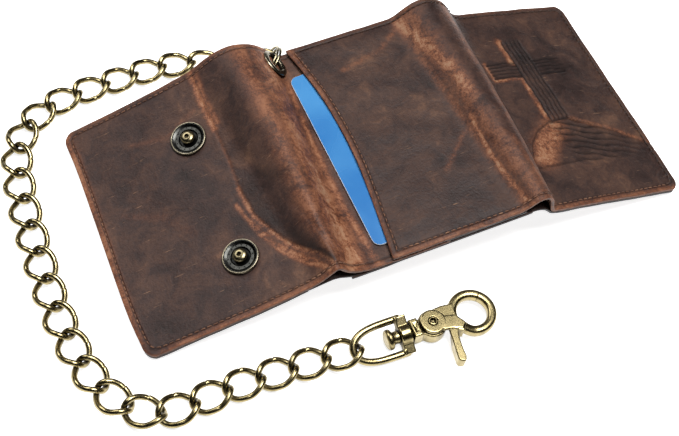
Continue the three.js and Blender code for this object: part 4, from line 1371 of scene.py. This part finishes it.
# A torsion spring round the rivet, inside the body.
spring = []
for i in range(141):
    a = i / 140 * 3.5 * 2 * math.pi
    spring.append((2.6 * math.cos(a), 2.6 * math.sin(a), 3.5 * i / 140 - 1.9))
spring_wire = in_place(tube(spring, 0.25, 8, closed=False))
simple("snap_spring", spring_wire, STEEL, "hook", "spring_steel", "trigger_spring")

# ---------- card ----------
CARD = {"long": 85.6, "short": 53.98, "thick": 0.76, "corner": 3.18, "x": 116.6, "y": 51.1, "turn": 1.2}
card_outline = rounded_box(-CARD["short"] / 2, CARD["short"] / 2, -CARD["long"] / 2, CARD["long"] / 2,
                           CARD["corner"], 12)
panel_tilt = math.radians(MIDDLE[2])
up_panel = (CARD["x"] - MIDDLE[0]) / math.cos(panel_tilt)
lie = (Matrix.Translation((MIDDLE[0], 0, MIDDLE[1])) @ Matrix.Rotation(-panel_tilt, 4, "Y")
       @ Matrix.Translation((up_panel, CARD["y"], 2.5)) @ Matrix.Rotation(math.radians(CARD["turn"]), 4, "Z"))
vertices, faces = moved(prism(card_outline, 0, CARD["thick"], 0.12), lie)
shades = [0, 0] + [1] * (len(faces) - 2)
card = outward(build("plain_card", vertices, faces, [CARD_FACE, CARD_RIM], shades, smooth=False))
rides(card, "card", "card", "card")

# ---------- materials of the CAD nodes that stay ----------
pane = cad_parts["window"]
pane.data.materials.clear()
pane.data.materials.append(WINDOW)


# ---------- floor, light and camera ----------
def floor_look():
    """Plain white, lit from itself, so that the ground is pale all over."""
    g = Graph("studio_floor")
    colour = g.ramp(g.noise(g.position(), 3.0, 2.0), [(0.0, (0.90, 0.90, 0.90)), (1.0, (0.93, 0.93, 0.93))])
    return g.finish(Base_Color=colour, Roughness=0.9, Specular_IOR_Level=0.1,
                    Emission_Color=(1, 1, 1, 1), Emission_Strength=0.85)


floor_mesh = bpy.data.meshes.new("studio_floor")
floor_mesh.from_pydata([(-3, -3, 0), (3, -3, 0), (3, 3, 0), (-3, 3, 0)], [], [(0, 1, 2, 3)])
floor_mesh.materials.append(floor_look())
floor = bpy.data.objects.new("studio_floor", floor_mesh)
bpy.context.scene.collection.objects.link(floor)

# A sky that is bright overhead and dim low down, so that metal shows light and dark.
world = bpy.data.worlds.new("studio")
world.use_nodes = True
nodes = world.node_tree.nodes
links = world.node_tree.links
sky = nodes["Background"]
sky.inputs[1].default_value = 2.0
direction = nodes.new("ShaderNodeTexCoord")
slant = nodes.new("ShaderNodeVectorMath")
slant.operation = "DOT_PRODUCT"
slant.inputs[1].default_value = (0.02, -0.17, 0.985)
shade = nodes.new("ShaderNodeValToRGB")
for at in (0.30, 0.56):
    shade.color_ramp.elements.new(at)
for stop, at, level in zip(shade.color_ramp.elements, (0.08, 0.30, 0.56, 1.0), (0.10, 0.20, 1.15, 1.45)):
    stop.position = at
    stop.color = (level, level, level, 1)
links.new(direction.outputs["Generated"], slant.inputs[0])
links.new(slant.outputs["Value"], shade.inputs[0])
links.new(shade.outputs[0], sky.inputs[0])


def softbox(name, position, size, power):
    """A rectangular lamp that faces the origin."""
    light = bpy.data.lights.new(name, "AREA")
    light.shape = "RECTANGLE"
    light.size, light.size_y = size
    light.energy = power
    obj = bpy.data.objects.new(name, light)
    obj.location = position
    obj.rotation_euler = (-Vector(position)).to_track_quat("-Z", "Y").to_euler()
    bpy.context.scene.collection.objects.link(obj)


softbox("key", (0.15, -0.05, 1.05), (0.6, 0.5), 15.0)
softbox("fill", (-0.35, 0.75, 0.9), (0.7, 0.5), 6.0)

EYE_POINT = (-32.07, -170.73, 369.19)
LOOK_RIGHT = Vector((0.92031, -0.38086, 0.08926))
LOOK_UP = Vector((0.27811, 0.79750, 0.53539))
LOOK_AHEAD = Vector((0.27510, 0.46790, -0.83987))
camera_data = bpy.data.cameras.new("camera")
camera_data.sensor_width = 36
camera_data.lens = 58.3
camera = bpy.data.objects.new("camera", camera_data)
turn = Matrix((LOOK_RIGHT, LOOK_UP, -LOOK_AHEAD)).transposed().to_4x4()
camera.matrix_world = Matrix.Translation(place(EYE_POINT)) @ turn
bpy.context.scene.collection.objects.link(camera)
bpy.context.scene.camera = camera
bpy.context.scene.view_settings.view_transform = "Standard"

bpy.context.view_layer.update()
